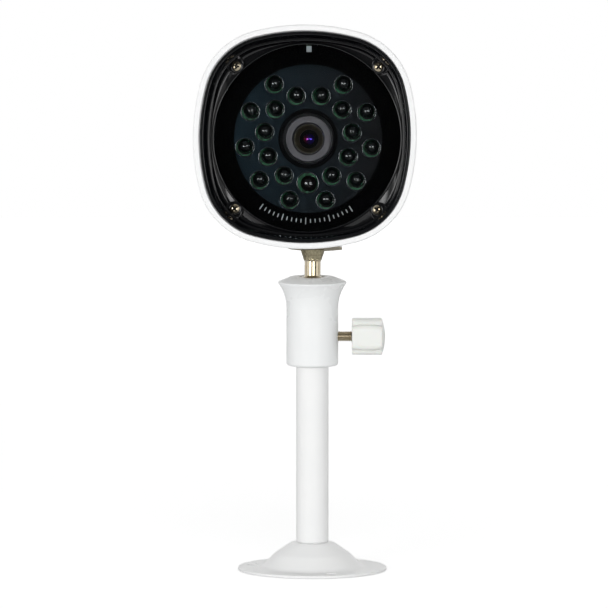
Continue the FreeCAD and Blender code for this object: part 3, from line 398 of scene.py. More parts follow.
def settle(name, mesh, pose, slot, *stands_for, crease=35, body=None, finish=None):
    """Makes an object of a bmesh drawn in mm, and ties it to the frame."""
    bmesh.ops.transform(mesh, matrix=pose, verts=mesh.verts)
    bmesh.ops.recalc_face_normals(mesh, faces=mesh.faces)
    data = bpy.data.meshes.new(name)
    mesh.to_mesh(data)
    mesh.free()
    data.shade_smooth()
    data.set_sharp_from_angle(angle=math.radians(crease))
    data.materials.append(FINISHES[finish or slot])
    piece = show(name, data)
    shading = piece.modifiers.new("flat_faces", "WEIGHTED_NORMAL")
    shading.keep_sharp = True
    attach(piece, body or body_of[stands_for[0]])
    if stands_for:
        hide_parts(*stands_for)
    print(name, len(data.polygons), "faces")
    return piece


def turned(name, slot, node, section, segments=96, pose=HEAD, **how):
    """Turns a section on the lathe and puts the piece in its place."""
    return settle(name, lathe(section, segments), pose, slot, node, **how)


# %% [markdown]
# Holes.  A drilled plate is a plate minus some cylinders, which is a Boolean.  It is applied at
# once, so that the piece is left with a plain mesh.

# %% Drill
def minus(mesh, tool):
    """The first bmesh with the second one cut out of it."""
    pair = []
    for part in (mesh, tool):
        bmesh.ops.recalc_face_normals(part, faces=part.faces)
        data = bpy.data.meshes.new("blank")
        part.to_mesh(data)
        part.free()
        pair.append(show("blank", data))
    cutter = pair[0].modifiers.new("cut", "BOOLEAN")
    cutter.operation, cutter.solver, cutter.object = "DIFFERENCE", "EXACT", pair[1]
    result = bmesh.new()
    result.from_object(pair[0], bpy.context.evaluated_depsgraph_get())
    for part in pair:
        bpy.data.meshes.remove(part.data)
    return result


def rods(spots, radius, low, high, segments=48):
    """Cylinders about Z at each (x, y), as one bmesh."""
    bundle = bmesh.new()
    for x, y in spots:
        bmesh.ops.create_cone(bundle, cap_ends=True, segments=segments, radius1=radius,
                              radius2=radius, depth=high - low,
                              matrix=Matrix.Translation((x, y, (low + high) / 2)))
    return bundle


def polar(radius, degrees):
    angle = math.radians(degrees)
    return radius * math.cos(angle), radius * math.sin(angle)


# %% [markdown]
# The base is one sheet of steel pressed into a low dome, with three holes for the table or wall.
# A section of the sheet, turned, gives the dome with its soft bends and a rolled outer edge.  The
# middle of the dome's slope bulges a little, as a pressing does when it springs back.

# %% Base
BASE_R, SHEET, BASE_BORE_R = 27.6, 1.0, 2.75
DOME_FOOT_R, DOME_TOP_R, DOME_TOP_Z, BULGE = 18.9, 8.3, 10.2, 0.4
HOLE_R, HOLE_CIRCLE_R, FIRST_HOLE = 2.1, 22.5, 48.0
slope = math.atan2(DOME_TOP_Z - SHEET, DOME_FOOT_R - DOME_TOP_R)
under = SHEET / math.tan(slope) - SHEET / math.sin(slope)
middle = (DOME_TOP_R + DOME_FOOT_R) / 2 + BULGE, (DOME_TOP_Z + SHEET) / 2 + BULGE
inside = middle[0] - SHEET * 0.75, middle[1] - SHEET * 0.75
base = lathe([(BASE_BORE_R, DOME_TOP_Z), (DOME_TOP_R - 0.4, DOME_TOP_Z, 2.5), (*middle, 8.0),
              (DOME_FOOT_R, SHEET, 4.0), (BASE_R, SHEET, 0.35), (BASE_R, 0, 0.2),
              (DOME_FOOT_R + under, 0, 5.0), (*inside, 8.0),
              (DOME_TOP_R + under, DOME_TOP_Z - SHEET, 2.0),
              (BASE_BORE_R, DOME_TOP_Z - SHEET)], 144)
base_holes = [polar(HOLE_CIRCLE_R, FIRST_HOLE + 120 * k) for k in range(3)]
base = minus(base, rods(base_holes, HOLE_R, -1, 3))
settle("pressed_base", base, BRACKET, "white_powder_steel", "base_flange")

# %% [markdown]
# The post is a piece of tube.  Its lower end is chamfered, which leaves the fine dark line that
# shows where the tube stands on the dome.

# %% Post
POST_R, POST_BORE_R, CHAMFER = 6.0, 4.8, 0.4
post_low, post_high = (corner.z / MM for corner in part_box("post_tube"))
turned("post", "white_powder_steel", "post_tube",
       [(POST_BORE_R, post_low), (POST_R - CHAMFER, post_low), (POST_R, post_low + CHAMFER),
        (POST_R, post_high, 0.2), (POST_BORE_R, post_high, 0.2)], pose=BRACKET)

# %% [markdown]
# The collar is turned from bar: a plain barrel that grips the post, a flare that opens in an arc,
# and a shallow cone on top with the opening for the ball stud.  The clamp screw's hole is drilled
# through one side.

# %% Collar
COLLAR_R, FLARE_Z, FLARE_ARC, RIM_R = 9.6, 97.7, 15.1, 12.8
COLLAR_BORE_R, CONE_TOP_R, MOUTH_R, CLAMP_HOLE_R = 6.15, 8.25, 4.95, 2.05
collar_low, collar_top = (corner.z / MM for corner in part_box("clamp_collar"))
CLAMP_Z = joints["knob_spin"]["pos_m"][2] / MM
flare_axis = COLLAR_R + FLARE_ARC
opening = math.acos((flare_axis - RIM_R) / FLARE_ARC)
FLARE_STEPS = 16
flare = [(flare_axis - FLARE_ARC * math.cos(opening * k / FLARE_STEPS),
          FLARE_Z + FLARE_ARC * math.sin(opening * k / FLARE_STEPS)) for k in range(FLARE_STEPS)]
rim_z = FLARE_Z + FLARE_ARC * math.sin(opening)
ball_z = ball.z / MM
collar = lathe([(COLLAR_BORE_R, collar_low, 0.2), (COLLAR_R, collar_low, 1.0)] + flare
               + [(RIM_R, rim_z, 0.15), (RIM_R - 0.25, rim_z + 0.45, 0.2),
                  (CONE_TOP_R, collar_top, 1.0), (MOUTH_R, collar_top, 0.15),
                  (4.73, ball_z + 3.0), (5.3, ball_z + 1.7), (5.6, ball_z + 0.3),
                  (COLLAR_BORE_R, ball_z + 0.3)], 128)
drill = lathe([(0, 0), (CLAMP_HOLE_R, 0), (CLAMP_HOLE_R, 20), (0, 20)], 48)
bmesh.ops.transform(drill, verts=drill.verts,
                    matrix=Matrix.Translation((0, 0, CLAMP_Z)) @ ALONG_X)
collar = minus(collar, drill)
settle("flared_collar", collar, BRACKET, "white_powder_collar", "clamp_collar")

# %% [markdown]
# The clamp screw has a real M4 thread, cut as a spiral: one pitch of the thread's section is spun
# and pushed along the axis at the same time, so each turn meets the next one exactly.

# %% Clamp screw
SCREW_R, PITCH, THREAD_DEPTH = 2.0, 0.7, 0.38
screw_low, screw_high = (corner.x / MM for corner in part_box("thumb_screw"))
TURNS = int((screw_high - screw_low) / PITCH) - 1
THREAD_STEPS = 32
screw = bmesh.new()
section = [(SCREW_R - THREAD_DEPTH, 0), (SCREW_R, 0.30 * PITCH), (SCREW_R, 0.45 * PITCH),
           (SCREW_R - THREAD_DEPTH, 0.8 * PITCH), (SCREW_R - THREAD_DEPTH, PITCH)]
points = [screw.verts.new((r, 0, h)) for r, h in section]
lines = [screw.edges.new(pair) for pair in zip(points, points[1:])]
bmesh.ops.spin(screw, geom=points + lines, axis=(0, 0, 1), cent=(0, 0, 0),
               dvec=(0, 0, PITCH / THREAD_STEPS), angle=math.tau * TURNS,
               steps=THREAD_STEPS * TURNS, use_merge=False)
bmesh.ops.remove_doubles(screw, verts=screw.verts, dist=1e-3)
bmesh.ops.holes_fill(screw, edges=[edge for edge in screw.edges if edge.is_boundary], sides=0)
settle("clamp_screw_thread", screw,
       BRACKET @ Matrix.Translation((screw_low, 0, CLAMP_Z)) @ ALONG_X, "nickel_brass",
       "thumb_screw", crease=30)

# %% [markdown]
# The knob is a fat moulded cross.  Its outline is pulled along the screw in steps, so that its four
# lobes can swell in the middle of their length.  The rims of both ends are rounded with a bevel,
# and the outer end is drawn on into a shallow dome.

# %% Knob
knob_low, knob_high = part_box("thumb_knob")
ARM, HALF_ARM, LOBE_ROUND, NOTCH_ROUND = 6.65, 4.25, 1.9, 0.9
DOME_H, SWELL, LENGTH_STEPS, DOME_SHARES = 1.1, 0.12, 8, (0.93, 0.8, 0.6, 0.35, 0.1)
KNOB_LENGTH = (knob_high.x - knob_low.x) / MM - DOME_H
quarter = [(ARM, HALF_ARM, LOBE_ROUND), (HALF_ARM, HALF_ARM, NOTCH_ROUND),
           (HALF_ARM, ARM, LOBE_ROUND)]
outline = []
for k in range(4):
    turn = Matrix.Rotation(math.pi / 2 * k, 2)
    outline += [(*(turn @ Vector(corner[:2])), corner[2]) for corner in quarter]
knob = bmesh.new()
rim = [knob.verts.new((x, y, 0)) for x, y in rounded(outline, steps=6)]
face = knob.faces.new(rim)
for step in range(LENGTH_STEPS):
    grown = bmesh.ops.extrude_face_region(knob, geom=[face])["geom"]
    face = next(item for item in grown if isinstance(item, bmesh.types.BMFace))
    bmesh.ops.translate(knob, vec=(0, 0, KNOB_LENGTH / LENGTH_STEPS), verts=face.verts)
for vert in knob.verts:
    swell = 1 + SWELL * (1 - (2 * vert.co.z / KNOB_LENGTH - 1) ** 2)
    across_by = abs(vert.co.x) - abs(vert.co.y)
    vert.co.x *= swell if across_by < 0.01 else 1
    vert.co.y *= swell if across_by > -0.01 else 1
ends = [edge for edge in knob.edges
        if all(min(vert.co.z, KNOB_LENGTH - vert.co.z) < 1e-4 for vert in edge.verts)]
round_edges(knob, ends, 0.5, 4)
tip = max(knob.faces, key=lambda face: face.calc_center_median().z)
last = 1.0
for share in DOME_SHARES:
    tip = bmesh.ops.extrude_discrete_faces(knob, faces=[tip])["faces"][0]
    for vert in tip.verts:
        vert.co.xy *= share / last
        vert.co.z = KNOB_LENGTH + DOME_H * (1 - share ** 2)
    last = share
settle("clamp_knob", knob, BRACKET @ Matrix.Translation((knob_low.x / MM, 0, CLAMP_Z)) @ ALONG_X,
       "white_knob_plastic", "thumb_knob")

# %% [markdown]
# The ball stud: ball, stem, and a flared lock face with a coarse knurl, all turned in one piece
# and nickel plated.  The ball is cut flat round its neck.  A diamond knurl has crests and pits in
# turn, along each line and from each line to the next, so every second point is pulled inwards.

# %% Ball stud
BALL_R, STEM_R, LOCK_R, LOCK_LENGTH = 5.5, 3.0, 4.5, 4.2
FACE_H = PLATE_ABOVE_BALL - 0.05
KNURL_LINES, KNURL_ROWS, KNURL_PIT, FLARE_START_R = 16, 4, 0.87, STEM_R + 0.25
THREAD_R, THREAD_LENGTH = 3.05, 7.0
arc = [(BALL_R * math.cos(math.radians(a)), BALL_R * math.sin(math.radians(a)))
       for a in range(-84, 33, 6)]
lock_foot = FACE_H - LOCK_LENGTH
flare_steps = [(FLARE_START_R + (LOCK_R - FLARE_START_R) * k / KNURL_ROWS,
                lock_foot + 0.45 + (LOCK_LENGTH - 0.55) * k / KNURL_ROWS)
               for k in range(KNURL_ROWS + 1)]
stud = lathe([(0, -BALL_R)] + arc + [(4.6, 3.05, 0.2), (STEM_R, 3.5, 0.2), (STEM_R, lock_foot, 0.3)]
             + flare_steps + [(LOCK_R, FACE_H), (THREAD_R, FACE_H),
                              (THREAD_R, FACE_H + THREAD_LENGTH - 0.6),
                              (2.5, FACE_H + THREAD_LENGTH), (0, FACE_H + THREAD_LENGTH)],
             KNURL_LINES * 2)
rows = sorted({round(vert.co.z, 3) for vert in stud.verts
               if lock_foot + 0.5 < vert.co.z < FACE_H - 0.05 and vert.co.xy.length > 3.2})
for vert in stud.verts:
    line = round(math.degrees(math.atan2(vert.co.y, vert.co.x)) / (180 / KNURL_LINES))
    height = round(vert.co.z, 3)
    if height in rows and (line + rows.index(height)) % 2:
        vert.co.xy *= KNURL_PIT
# The flare's faces take the knurl finish, whose dark patches are painted shade.
for face in stud.faces:
    if lock_foot + 0.35 < face.calc_center_median().z < FACE_H - 0.01:
        face.material_index = 1
stud_piece = settle("plated_ball_stud", stud, STUD, "nickel_brass", "ball_stud", crease=25)
stud_piece.data.materials.append(FINISHES["knurled_brass"])

# %% [markdown]
# The head is a rounded square with bowed sides: four shallow arcs, and four tighter ones at the
# corners.  In polar form its radius is a formula, so any outline of this family is a circle whose
# points are moved in or out.  Bezel, housing and rear cover are all lofted from such loops.

# %% Loops
RIM_HALF, SIDE_CENTRE, CORNER_CENTRE = 41.19, 34.51, 12.4
DRAFT = math.tan(math.radians(5.5))
LOOP_POINTS = 288


def squircle(half):
    """Radius of the rounded square, by angle; `half` is the middle of a side from the axis."""
    side_r = half + SIDE_CENTRE
    reach = math.hypot(CORNER_CENTRE, CORNER_CENTRE + SIDE_CENTRE)
    corner_r = side_r - reach
    lean = math.atan2(CORNER_CENTRE, CORNER_CENTRE + SIDE_CENTRE)
    switch = math.atan2(side_r * math.sin(lean), side_r * math.cos(lean) - SIDE_CENTRE)

    def radius(angle):
        folded = abs((angle + math.pi / 4) % (math.pi / 2) - math.pi / 4)
        if folded < switch:
            side = SIDE_CENTRE * math.sin(folded)
            return math.sqrt(side_r ** 2 - side ** 2) - SIDE_CENTRE * math.cos(folded)
        along = CORNER_CENTRE * (math.cos(folded) + math.sin(folded))
        aside = CORNER_CENTRE * (math.cos(folded) - math.sin(folded))
        return along + math.sqrt(corner_r ** 2 - aside ** 2)

    return radius


def circle(size):
    return lambda angle: size


def loft(loops, closed=True):
    """A bmesh through loops (radius by angle, depth or depth by angle) of equal point counts."""
    mesh = bmesh.new()
    bmesh.ops.create_circle(mesh, segments=LOOP_POINTS, radius=1.0)
    verts, edges = list(mesh.verts), list(mesh.edges)
    first = edges
    for k, (radius, depth) in enumerate(loops):
        if k:
            grown = bmesh.ops.extrude_edge_only(mesh, edges=edges)["geom"]
            verts = [item for item in grown if isinstance(item, bmesh.types.BMVert)]
            edges = [item for item in grown if isinstance(item, bmesh.types.BMEdge)]
        for vert in verts:
            angle = math.atan2(vert.co.y, vert.co.x)
            vert.co = (radius(angle) * math.cos(angle), radius(angle) * math.sin(angle),
                       depth(angle) if callable(depth) else depth)
    if closed:
        bmesh.ops.bridge_loops(mesh, edges=first + edges)
    else:
        for ring in (first, edges):
            bmesh.ops.edgeloop_fill(mesh, edges=ring)
    return mesh


def squircles(path):
    """Loops for `loft` from (half, depth) points, with rounded corners where they carry one."""
    return [(squircle(half), depth) for half, depth in rounded(path, closed=False)]


def circles(path):
    return [(circle(radius), depth) for radius, depth in rounded(path, closed=False)]


def skin(depth, inset=0.0):
    """Half width of the tapering housing at a depth, some way under its surface."""
    return RIM_HALF - DRAFT * depth - inset


# %% [markdown]
# The housing is a die-cast shell that tapers to the back, because a casting has to slide out of its
# mould.  The front rim is rounded, and the wall is 2.2 mm.

# %% Housing
SHELL_LENGTH, WALL = 84.0, 2.2
shell = loft(squircles([(skin(20, WALL), 20.0), (skin(0.6, WALL), 0.6), (skin(0, WALL), 0, 0.35),
                        (skin(0), 0, 0.7), (skin(4), 4.0), (skin(20), 20.0), (skin(50), 50.0),
                        (skin(SHELL_LENGTH), SHELL_LENGTH, 0.3),
                        (skin(SHELL_LENGTH, WALL), SHELL_LENGTH, 0.3), (skin(50, WALL), 50.0)]))
settle("cast_housing", shell, HEAD, "white_housing", "housing_shell", crease=40)

# %% [markdown]
# The tripod plate is a strip of sheet pressed into a shallow arc, so that it fits the belly and
# doesn't rock.  The saddle above it is part of the casting.  Both are the same slab, flat or curved
# on top: a grid is extruded once, and its points are then moved on to the arcs.

# %% Saddle and tripod plate
PLATE_ARC, PLATE_T, PLATE_WIDTH, PLATE_LENGTH = 75.0, 0.8, 19.6, 28.0
ARC_CENTRE = PLATE_ARC - AXIS_ABOVE_PLATE
SCREW_SPOTS = [(0, STUD_BEHIND_RIM - 9.8), (0, STUD_BEHIND_RIM + 9.8)]


def curved_slab(top, bottom_r):
    """A slab as long and wide as the plate, whose underside lies on an arc."""
    slab = bmesh.new()
    bmesh.ops.create_grid(slab, x_segments=24, y_segments=2, size=0.5)
    bmesh.ops.transform(slab, matrix=Matrix.Diagonal((PLATE_WIDTH, PLATE_LENGTH, 1, 1)),
                        verts=slab.verts)
    grown = bmesh.ops.extrude_face_region(slab, geom=list(slab.faces))["geom"]
    bmesh.ops.translate(slab, vec=(0, 0, 1),
                        verts=[item for item in grown if isinstance(item, bmesh.types.BMVert)])
    rims = [edge for edge in slab.edges if edge.calc_face_angle(0) > 1]
    for vert in slab.verts:
        low = ARC_CENTRE - math.sqrt(bottom_r ** 2 - vert.co.x ** 2)
        vert.co.z = low + vert.co.z * (top(vert.co.x) - low)
    round_edges(slab, rims, 0.18, 2)
    bmesh.ops.translate(slab, vec=(0, STUD_BEHIND_RIM, 0), verts=slab.verts)
    return slab


saddle_top = 3.0 - skin(STUD_BEHIND_RIM + PLATE_LENGTH / 2)
saddle = curved_slab(lambda x: saddle_top, PLATE_ARC - PLATE_T - 0.05)
settle("housing_saddle", saddle, UNDER_HEAD, "white_housing", body="head")
plate = curved_slab(lambda x: ARC_CENTRE - math.sqrt((PLATE_ARC - PLATE_T) ** 2 - x ** 2),
                    PLATE_ARC)
drill_from, drill_to = -AXIS_ABOVE_PLATE - 2, -AXIS_ABOVE_PLATE + 3
holes = rods(SCREW_SPOTS, 2.5, drill_from, drill_to)
add_copy(holes, rods([(0, STUD_BEHIND_RIM)], 3.35, drill_from, drill_to), HERE)
settle("tripod_plate", minus(plate, holes), UNDER_HEAD, "zinc_steel", "mount_plate",
       finish="plate_passivated")

# %% [markdown]
# Every cross-recess screw here is the same shape at another size: a domed head, and a recess that
# is two tapered blades.  The head is turned, the blades are cubes with their lower ends pinched,
# and one minus the other is the screw.

# %% Cross-recess screws
def cross_screw(head_r, head_h, countersunk=False):
    """A screw head on z = 0 with its dome upwards."""
    if countersunk:
        section = [(0, -head_r / 2), (head_r / 2, -head_r / 2), (head_r, 0, 0.05), (0, 0)]
    else:
        section = [(0, 0), (head_r, 0, 0.08), (head_r, head_h * 0.45, head_h * 0.4),
                   (head_r * 0.55, head_h * 0.93, head_h * 0.5), (0, head_h)]
    head = lathe(section, 48)
    top = 0.0 if countersunk else head_h
    deep = head_r * 0.75
    blades = []
    for turn in (0, math.pi / 2):
        blade = bmesh.new()
        bmesh.ops.create_cube(blade, size=1.0)
        for vert in blade.verts:
            low = vert.co.z < 0
            vert.co.x *= head_r * (0.7 if low else 1.4)
            vert.co.y *= head_r * (0.25 if low else 0.4)
            vert.co.z = top - deep if low else top + 0.1
        bmesh.ops.rotate(blade, matrix=Matrix.Rotation(turn, 3, "Z"), verts=blade.verts)
        blades.append(blade)
    return minus(minus(head, blades[0]), blades[1])


def screw_set(name, head_r, head_h, spots, turns, frame_pose, node, slot, **shape):
    """One object with a screw at each spot (a 4x4 placement), each head turned its own way."""
    group = bmesh.new()
    for spot, turn in zip(spots, turns):
        add_copy(group, cross_screw(head_r, head_h, **shape), spot @ Matrix.Rotation(turn, 4, "Z"))
    return settle(name, group, frame_pose, slot, node, crease=30)


FACING_FRONT = Matrix.Rotation(math.pi, 4, "Y")


def corner_spots(distance, depth, facing):
    return [Matrix.Translation((u, v, depth)) @ facing
            for u in (-distance, distance) for v in (-distance, distance)]


screw_set("plate_screws", 2.5, 0, [Matrix.Translation((x, y, -AXIS_ABOVE_PLATE + 0.05))
                                   @ Matrix.Rotation(math.pi, 4, "X") for x, y in SCREW_SPOTS],
          (0.3, 1.1), UNDER_HEAD, "mount_plate_screws", "zinc_steel", countersunk=True)

# %% [markdown]
# The front bezel is one glossy moulding.  From the rim it steps in over a narrow lip and a small
# ledge, runs down a steep funnel to a pocket, and ends in a raised ring round the window.  A small
# hollow joins the funnel to the pocket's floor, which falls a little towards the corners: such
# turns give a black part its bright lines.  Four posts on round pads take the screws.  The outer
# part follows the rounded square and the inner part is round, so the loft changes from one family
# of loops to the other on the pocket floor.

# %% Bezel
BEZEL_INSET = 2.35
LIP_W, CHAMFER_HALF, CHAMFER_W = 1.9, 37.2, 2.6
LEDGE_HALF, LEDGE_W = 36.15, 6.1
FUNNEL_HALF, POCKET_W = 35.5, 11.6
RING_R, RING_T, RING_W = 34.4, 0.8, 10.5
GLASS_SEAT_W, GLASS_R, BEZEL_BACK = 12.6, 35.45, 19.0
BOSS_R, BOSS_W, BOSS_AT = 2.6, 9.5, 26.2
PAD_R, PAD_W, PAD_AT = 3.5, 10.0, 27.0
outer = squircles([(skin(BEZEL_BACK, BEZEL_INSET), BEZEL_BACK),
                   (skin(LIP_W, BEZEL_INSET), LIP_W, 0.3), (CHAMFER_HALF + 0.35, LIP_W, 0.25),
                   (CHAMFER_HALF, CHAMFER_W, 0.5), (LEDGE_HALF, LEDGE_W, 0.15),
                   (FUNNEL_HALF, LEDGE_W, 0.3), (FUNNEL_HALF, LEDGE_W + 0.4)])
inner = circles([(RING_R + RING_T, POCKET_W), (RING_R + RING_T, RING_W, 0.45),
                 (RING_R, RING_W, 0.3), (RING_R, GLASS_SEAT_W), (GLASS_R, GLASS_SEAT_W),
                 (GLASS_R, BEZEL_BACK)])
COVE_MOST, COVE_SHARE, FLOOR_SLOPE = 1.6, 0.5, 0.19
wall = squircle(FUNNEL_HALF)


def cove(degrees):
    """One loop of the hollow between the funnel and the sloping pocket floor."""
    turn = math.radians(degrees)

    def room(angle):
        return wall(angle) - RING_R - RING_T

    def size(angle):
        return min(COVE_MOST, COVE_SHARE * room(angle))

    def floor_w(angle):
        return POCKET_W + FLOOR_SLOPE * (room(angle) - size(angle))

    return (lambda angle: wall(angle) - size(angle) * (1 - math.cos(turn)),
            lambda angle: floor_w(angle) - size(angle) * (1 - math.sin(turn)))


bezel = loft(outer + [cove(10 * k) for k in range(10)] + inner)
SCREW_BORE_R, ROOT_W = 1.1, POCKET_W + 2.0
for radius, top_w, away, bore_round, edge_round, segments in (
        (BOSS_R, BOSS_W, BOSS_AT, 0.15, 0.7, 48), (PAD_R, PAD_W, PAD_AT, 0.1, 0.45, 64)):
    section = [(SCREW_BORE_R, top_w, bore_round), (radius, top_w, edge_round), (radius, ROOT_W),
               (SCREW_BORE_R, ROOT_W)]
    for spot in corner_spots(away, 0, HERE):
        add_copy(bezel, lathe(section, segments), spot)
settle("gloss_bezel", bezel, HEAD, "bezel_black", "front_bezel", crease=40)
screw_set("front_screws", 1.85, 1.3, corner_spots(BOSS_AT, BOSS_W, FACING_FRONT),
          (0.9, 0.2, 0.5, 0.75), HEAD, "bezel_screws", "nickel_brass")

# %% [markdown]
# The window is a flat disc of coated glass with a seamed edge.  A black border is printed on its
# back, with a slot at the top for a light pipe.  The ink is a real thin layer, so that it hides
# what lies behind it and shows its own edge in the thickness of the glass.

# %% Window
GLASS_W, GLASS_T = 13.0, 2.0
PANE_R = 35.4
turned("window_pane", "window_clear", "window_glass",
       [(0, GLASS_W), (PANE_R, GLASS_W, 0.25), (PANE_R, GLASS_W + GLASS_T, 0.25),
        (0, GLASS_W + GLASS_T)], 192)

CLEAR_R = 27.35
INK_W = GLASS_W + GLASS_T + 0.04
PIPE_LOW, PIPE_HIGH, PIPE_HALF = 31.8, 34.2, 1.0
mask = lathe([(CLEAR_R, INK_W), (PANE_R - 0.3, INK_W), (PANE_R - 0.3, INK_W + 0.05),
              (CLEAR_R, INK_W + 0.05)], 192)


def pipe_block(w, gap, thick):
    """A block in the light pipe's place, smaller by a gap."""
    block = bmesh.new()
    bmesh.ops.create_cube(block, size=1.0, matrix=Matrix.Translation(
        (0, (PIPE_LOW + PIPE_HIGH) / 2, w))
        @ Matrix.Diagonal((2 * PIPE_HALF - gap, PIPE_HIGH - PIPE_LOW - gap, thick, 1)))
    return block


settle("printed_border", minus(mask, pipe_block(INK_W, 0, 2)), HEAD, "mask_ink", "window_mask",
       crease=60)

# %% [markdown]
# The border carries a plain scale of grey-white ticks, printed with it.  Every fifth one is longer.
# Each tick is a flat block on a polar grid, so the spacing is exact.

# %% Ticks
TICK_R, TICK_LONG, TICK_SHORT, TICK_WIDTH = 30.3, 2.4, 1.4, 0.32
FIRST_TICK, LAST_TICK, TICK_COUNT = 236.0, 302.0, 21
grained("tick_ink", "screen_printed_ink_white", "96989C", "86888C", (0.4, 0.5), grain=0.3,
        depth=2.0)
ticks = bmesh.new()
for k in range(TICK_COUNT):
    angle = FIRST_TICK + (LAST_TICK - FIRST_TICK) * k / (TICK_COUNT - 1)
    length = TICK_LONG if k % 5 == 0 else TICK_SHORT
    spot = (Matrix.Rotation(math.radians(angle), 4, "Z")
            @ Matrix.Translation((TICK_R, 0, INK_W - 0.02))
            @ Matrix.Diagonal((length, TICK_WIDTH, 0.02, 1)))
    bmesh.ops.create_cube(ticks, size=1.0, matrix=spot)
settle("scale_ticks", ticks, HEAD, "mask_ink", body="head", finish="tick_ink")

# %% [markdown]
# Behind the border a short light pipe shows through the slot in the ink.  It is a milky block with
# rounded edges, and it spreads the light of a small lamp on the board.

# %% Light pipe
pipe = pipe_block(INK_W + 0.28, 0.1, 0.55)
round_edges(pipe, list(pipe.edges), 0.15, 2)
settle("milky_pipe", pipe, HEAD, "status_diffuser", "status_window")

# %% [markdown]
# The infrared ring: a painted plate with a hole for each lamp, two rings of lamps round the lens,
# and one larger light sensor at the bottom.  The rings have eleven places each, half a step apart.
# Each hole has a rounded lip, which is turned by itself and sits in the plate, because its thin
# bright arc is what shows that the hole is a hole.  The lens's own hole has a matt black lip.

# %% Infrared plate
PLATE_R, PLATE_W, LIP_T = 33.2, 15.6, 0.4
LAMP_HOLE_R, SENSOR_HOLE_R, LENS_HOLE_R = 3.2, 3.75, 10.7
INNER_RING_R, OUTER_RING_R, STEP = 16.3, 23.6, 360 / 11
lamp_spots = [polar(INNER_RING_R, 270 + STEP * k) for k in range(1, 11)]
lamp_spots += [polar(OUTER_RING_R, 270 + STEP * (k + 0.5)) for k in range(11) if k != 5]
sensor_spot = polar(INNER_RING_R, 270)


def hole_lip(radius):
    back = PLATE_W + 1.0
    return lathe([(radius, PLATE_W, 0.3), (radius + LIP_T, PLATE_W, 0.05), (radius + LIP_T, back),
                  (radius, back)], 48)


infrared_plate = rods([(0, 0)], PLATE_R, PLATE_W, PLATE_W + 1.0, segments=192)
openings = bmesh.new()
for spots, radius, segments in ((lamp_spots, LAMP_HOLE_R, 48), ([sensor_spot], SENSOR_HOLE_R, 48),
                                ([(0, 0)], LENS_HOLE_R, 96)):
    add_copy(openings, rods(spots, radius + LIP_T - 0.02, PLATE_W - 1, PLATE_W + 2, segments),
             HERE)
settle("painted_plate", minus(infrared_plate, openings), HEAD, "infrared_plate", "led_cover_plate")
lips = bmesh.new()
for radius, spots in ((LAMP_HOLE_R, lamp_spots), (SENSOR_HOLE_R, [sensor_spot])):
    for u, v in spots:
        add_copy(lips, hole_lip(radius), Matrix.Translation((u, v, 0)))
settle("hole_lips", lips, HEAD, "infrared_plate", body="head", finish="plate_lips")
settle("lens_hole_lip", hole_lip(LENS_HOLE_R), HEAD, "infrared_plate", body="head",
       finish="foam_black")

# %% [markdown]
# A lamp is a 5 mm dome of smoked epoxy on a narrow flange, turned in one piece.  The lamps stand a
# little high in their holes, so a crescent of the green board shows below each one.  The sensor is
# the same shape with a flatter dome.

# %% Lamps and light sensor
LAMP_R, LAMP_FLANGE_R, DOME_W, BOARD_W, LAMP_LIFT = 2.5, 2.9, 18.4, 21.0, 0.55


def epoxy_lamp(radius, flange, dome_w, squash=1.0):
    """A domed epoxy lamp that looks out to the front, standing on the board."""
    turns = [math.radians(degrees) for degrees in range(0, 91, 9)]
    dome = [(radius * math.sin(turn), dome_w - squash * radius * math.cos(turn)) for turn in turns]
    return lathe(dome + [(radius, BOARD_W - 1.0), (flange, BOARD_W - 1.0, 0.15), (flange, BOARD_W),
                         (0, BOARD_W)], 48)


lamps = bmesh.new()
for u, v in lamp_spots:
    add_copy(lamps, epoxy_lamp(LAMP_R, LAMP_FLANGE_R, DOME_W),
             Matrix.Translation((u, v + LAMP_LIFT, 0)))
settle("infrared_lamps", lamps, HEAD, "led_epoxy", "ir_leds")
sensor = epoxy_lamp(2.9, 3.0, 19.4, squash=0.7)
settle("dusk_sensor", sensor, head_at(*sensor_spot), "sensor_epoxy", "light_sensor")

# %% [markdown]
# The lens stands in the middle hole: a black anodised barrel, a satin grey front ring with its
# inner edge chamfered, a dark bronze cone that leads in to the glass, and the front element.  Only
# the small crown in its middle is polished and coated, and the rest is blackened.  The foam sleeve
# round the barrel keeps the lamps' light out of it.

# %% Lens
BARREL_R, BARREL_W = 9.4, 15.9
RING_OUT_R, RING_BORE, RING_FRONT_W, RING_SEAT_W = 8.4, 5.55, 16.5, 17.5
CONE_R, CONE_W, CONE_BACK_W = 3.5, 17.7, 19.3
turned("anodised_barrel", "lens_black", "lens_barrel",
       [(BARREL_R, BARREL_W, 0.3), (BARREL_R, 26.0, 0.2), (7.9, 26.0), (7.9, 29.0, 0.2),
        (6.0, 29.0), (6.0, 39.5, 0.4), (3.4, 39.5), (3.4, 35.5), (4.2, 35.5), (4.2, 22.7),
        (5.5, 22.7), (5.5, RING_SEAT_W), (RING_OUT_R + 0.05, RING_SEAT_W),
        (RING_OUT_R + 0.05, BARREL_W, 0.2)], 128)
turned("satin_front_ring", "lens_ring_grey", "lens_front_ring",
       [(RING_BORE + 0.5, RING_FRONT_W, 0.12), (RING_OUT_R, RING_FRONT_W, 0.2),
        (RING_OUT_R, RING_SEAT_W), (RING_BORE, RING_SEAT_W),
        (RING_BORE, RING_SEAT_W - 0.5, 0.1)], 128)
turned("bronze_cone", "lens_cone_bronze", "lens_inner_cone",
       [(5.45, CONE_W), (5.45, CONE_BACK_W), (CONE_R, CONE_BACK_W), (CONE_R, 19.0, 0.1),
        (5.05, CONE_W, 0.1)])
APEX_W, CROWN_R, CROWN_EDGE, CLEAR_EYE_R = 18.4, 3.0, 40, 1.95
turns = [math.radians(degrees) for degrees in range(0, CROWN_EDGE + 1, 4)]
crown = [(CROWN_R * math.sin(turn), APEX_W + CROWN_R * (1 - math.cos(turn))) for turn in turns]
element_back = CONE_BACK_W + 2.6
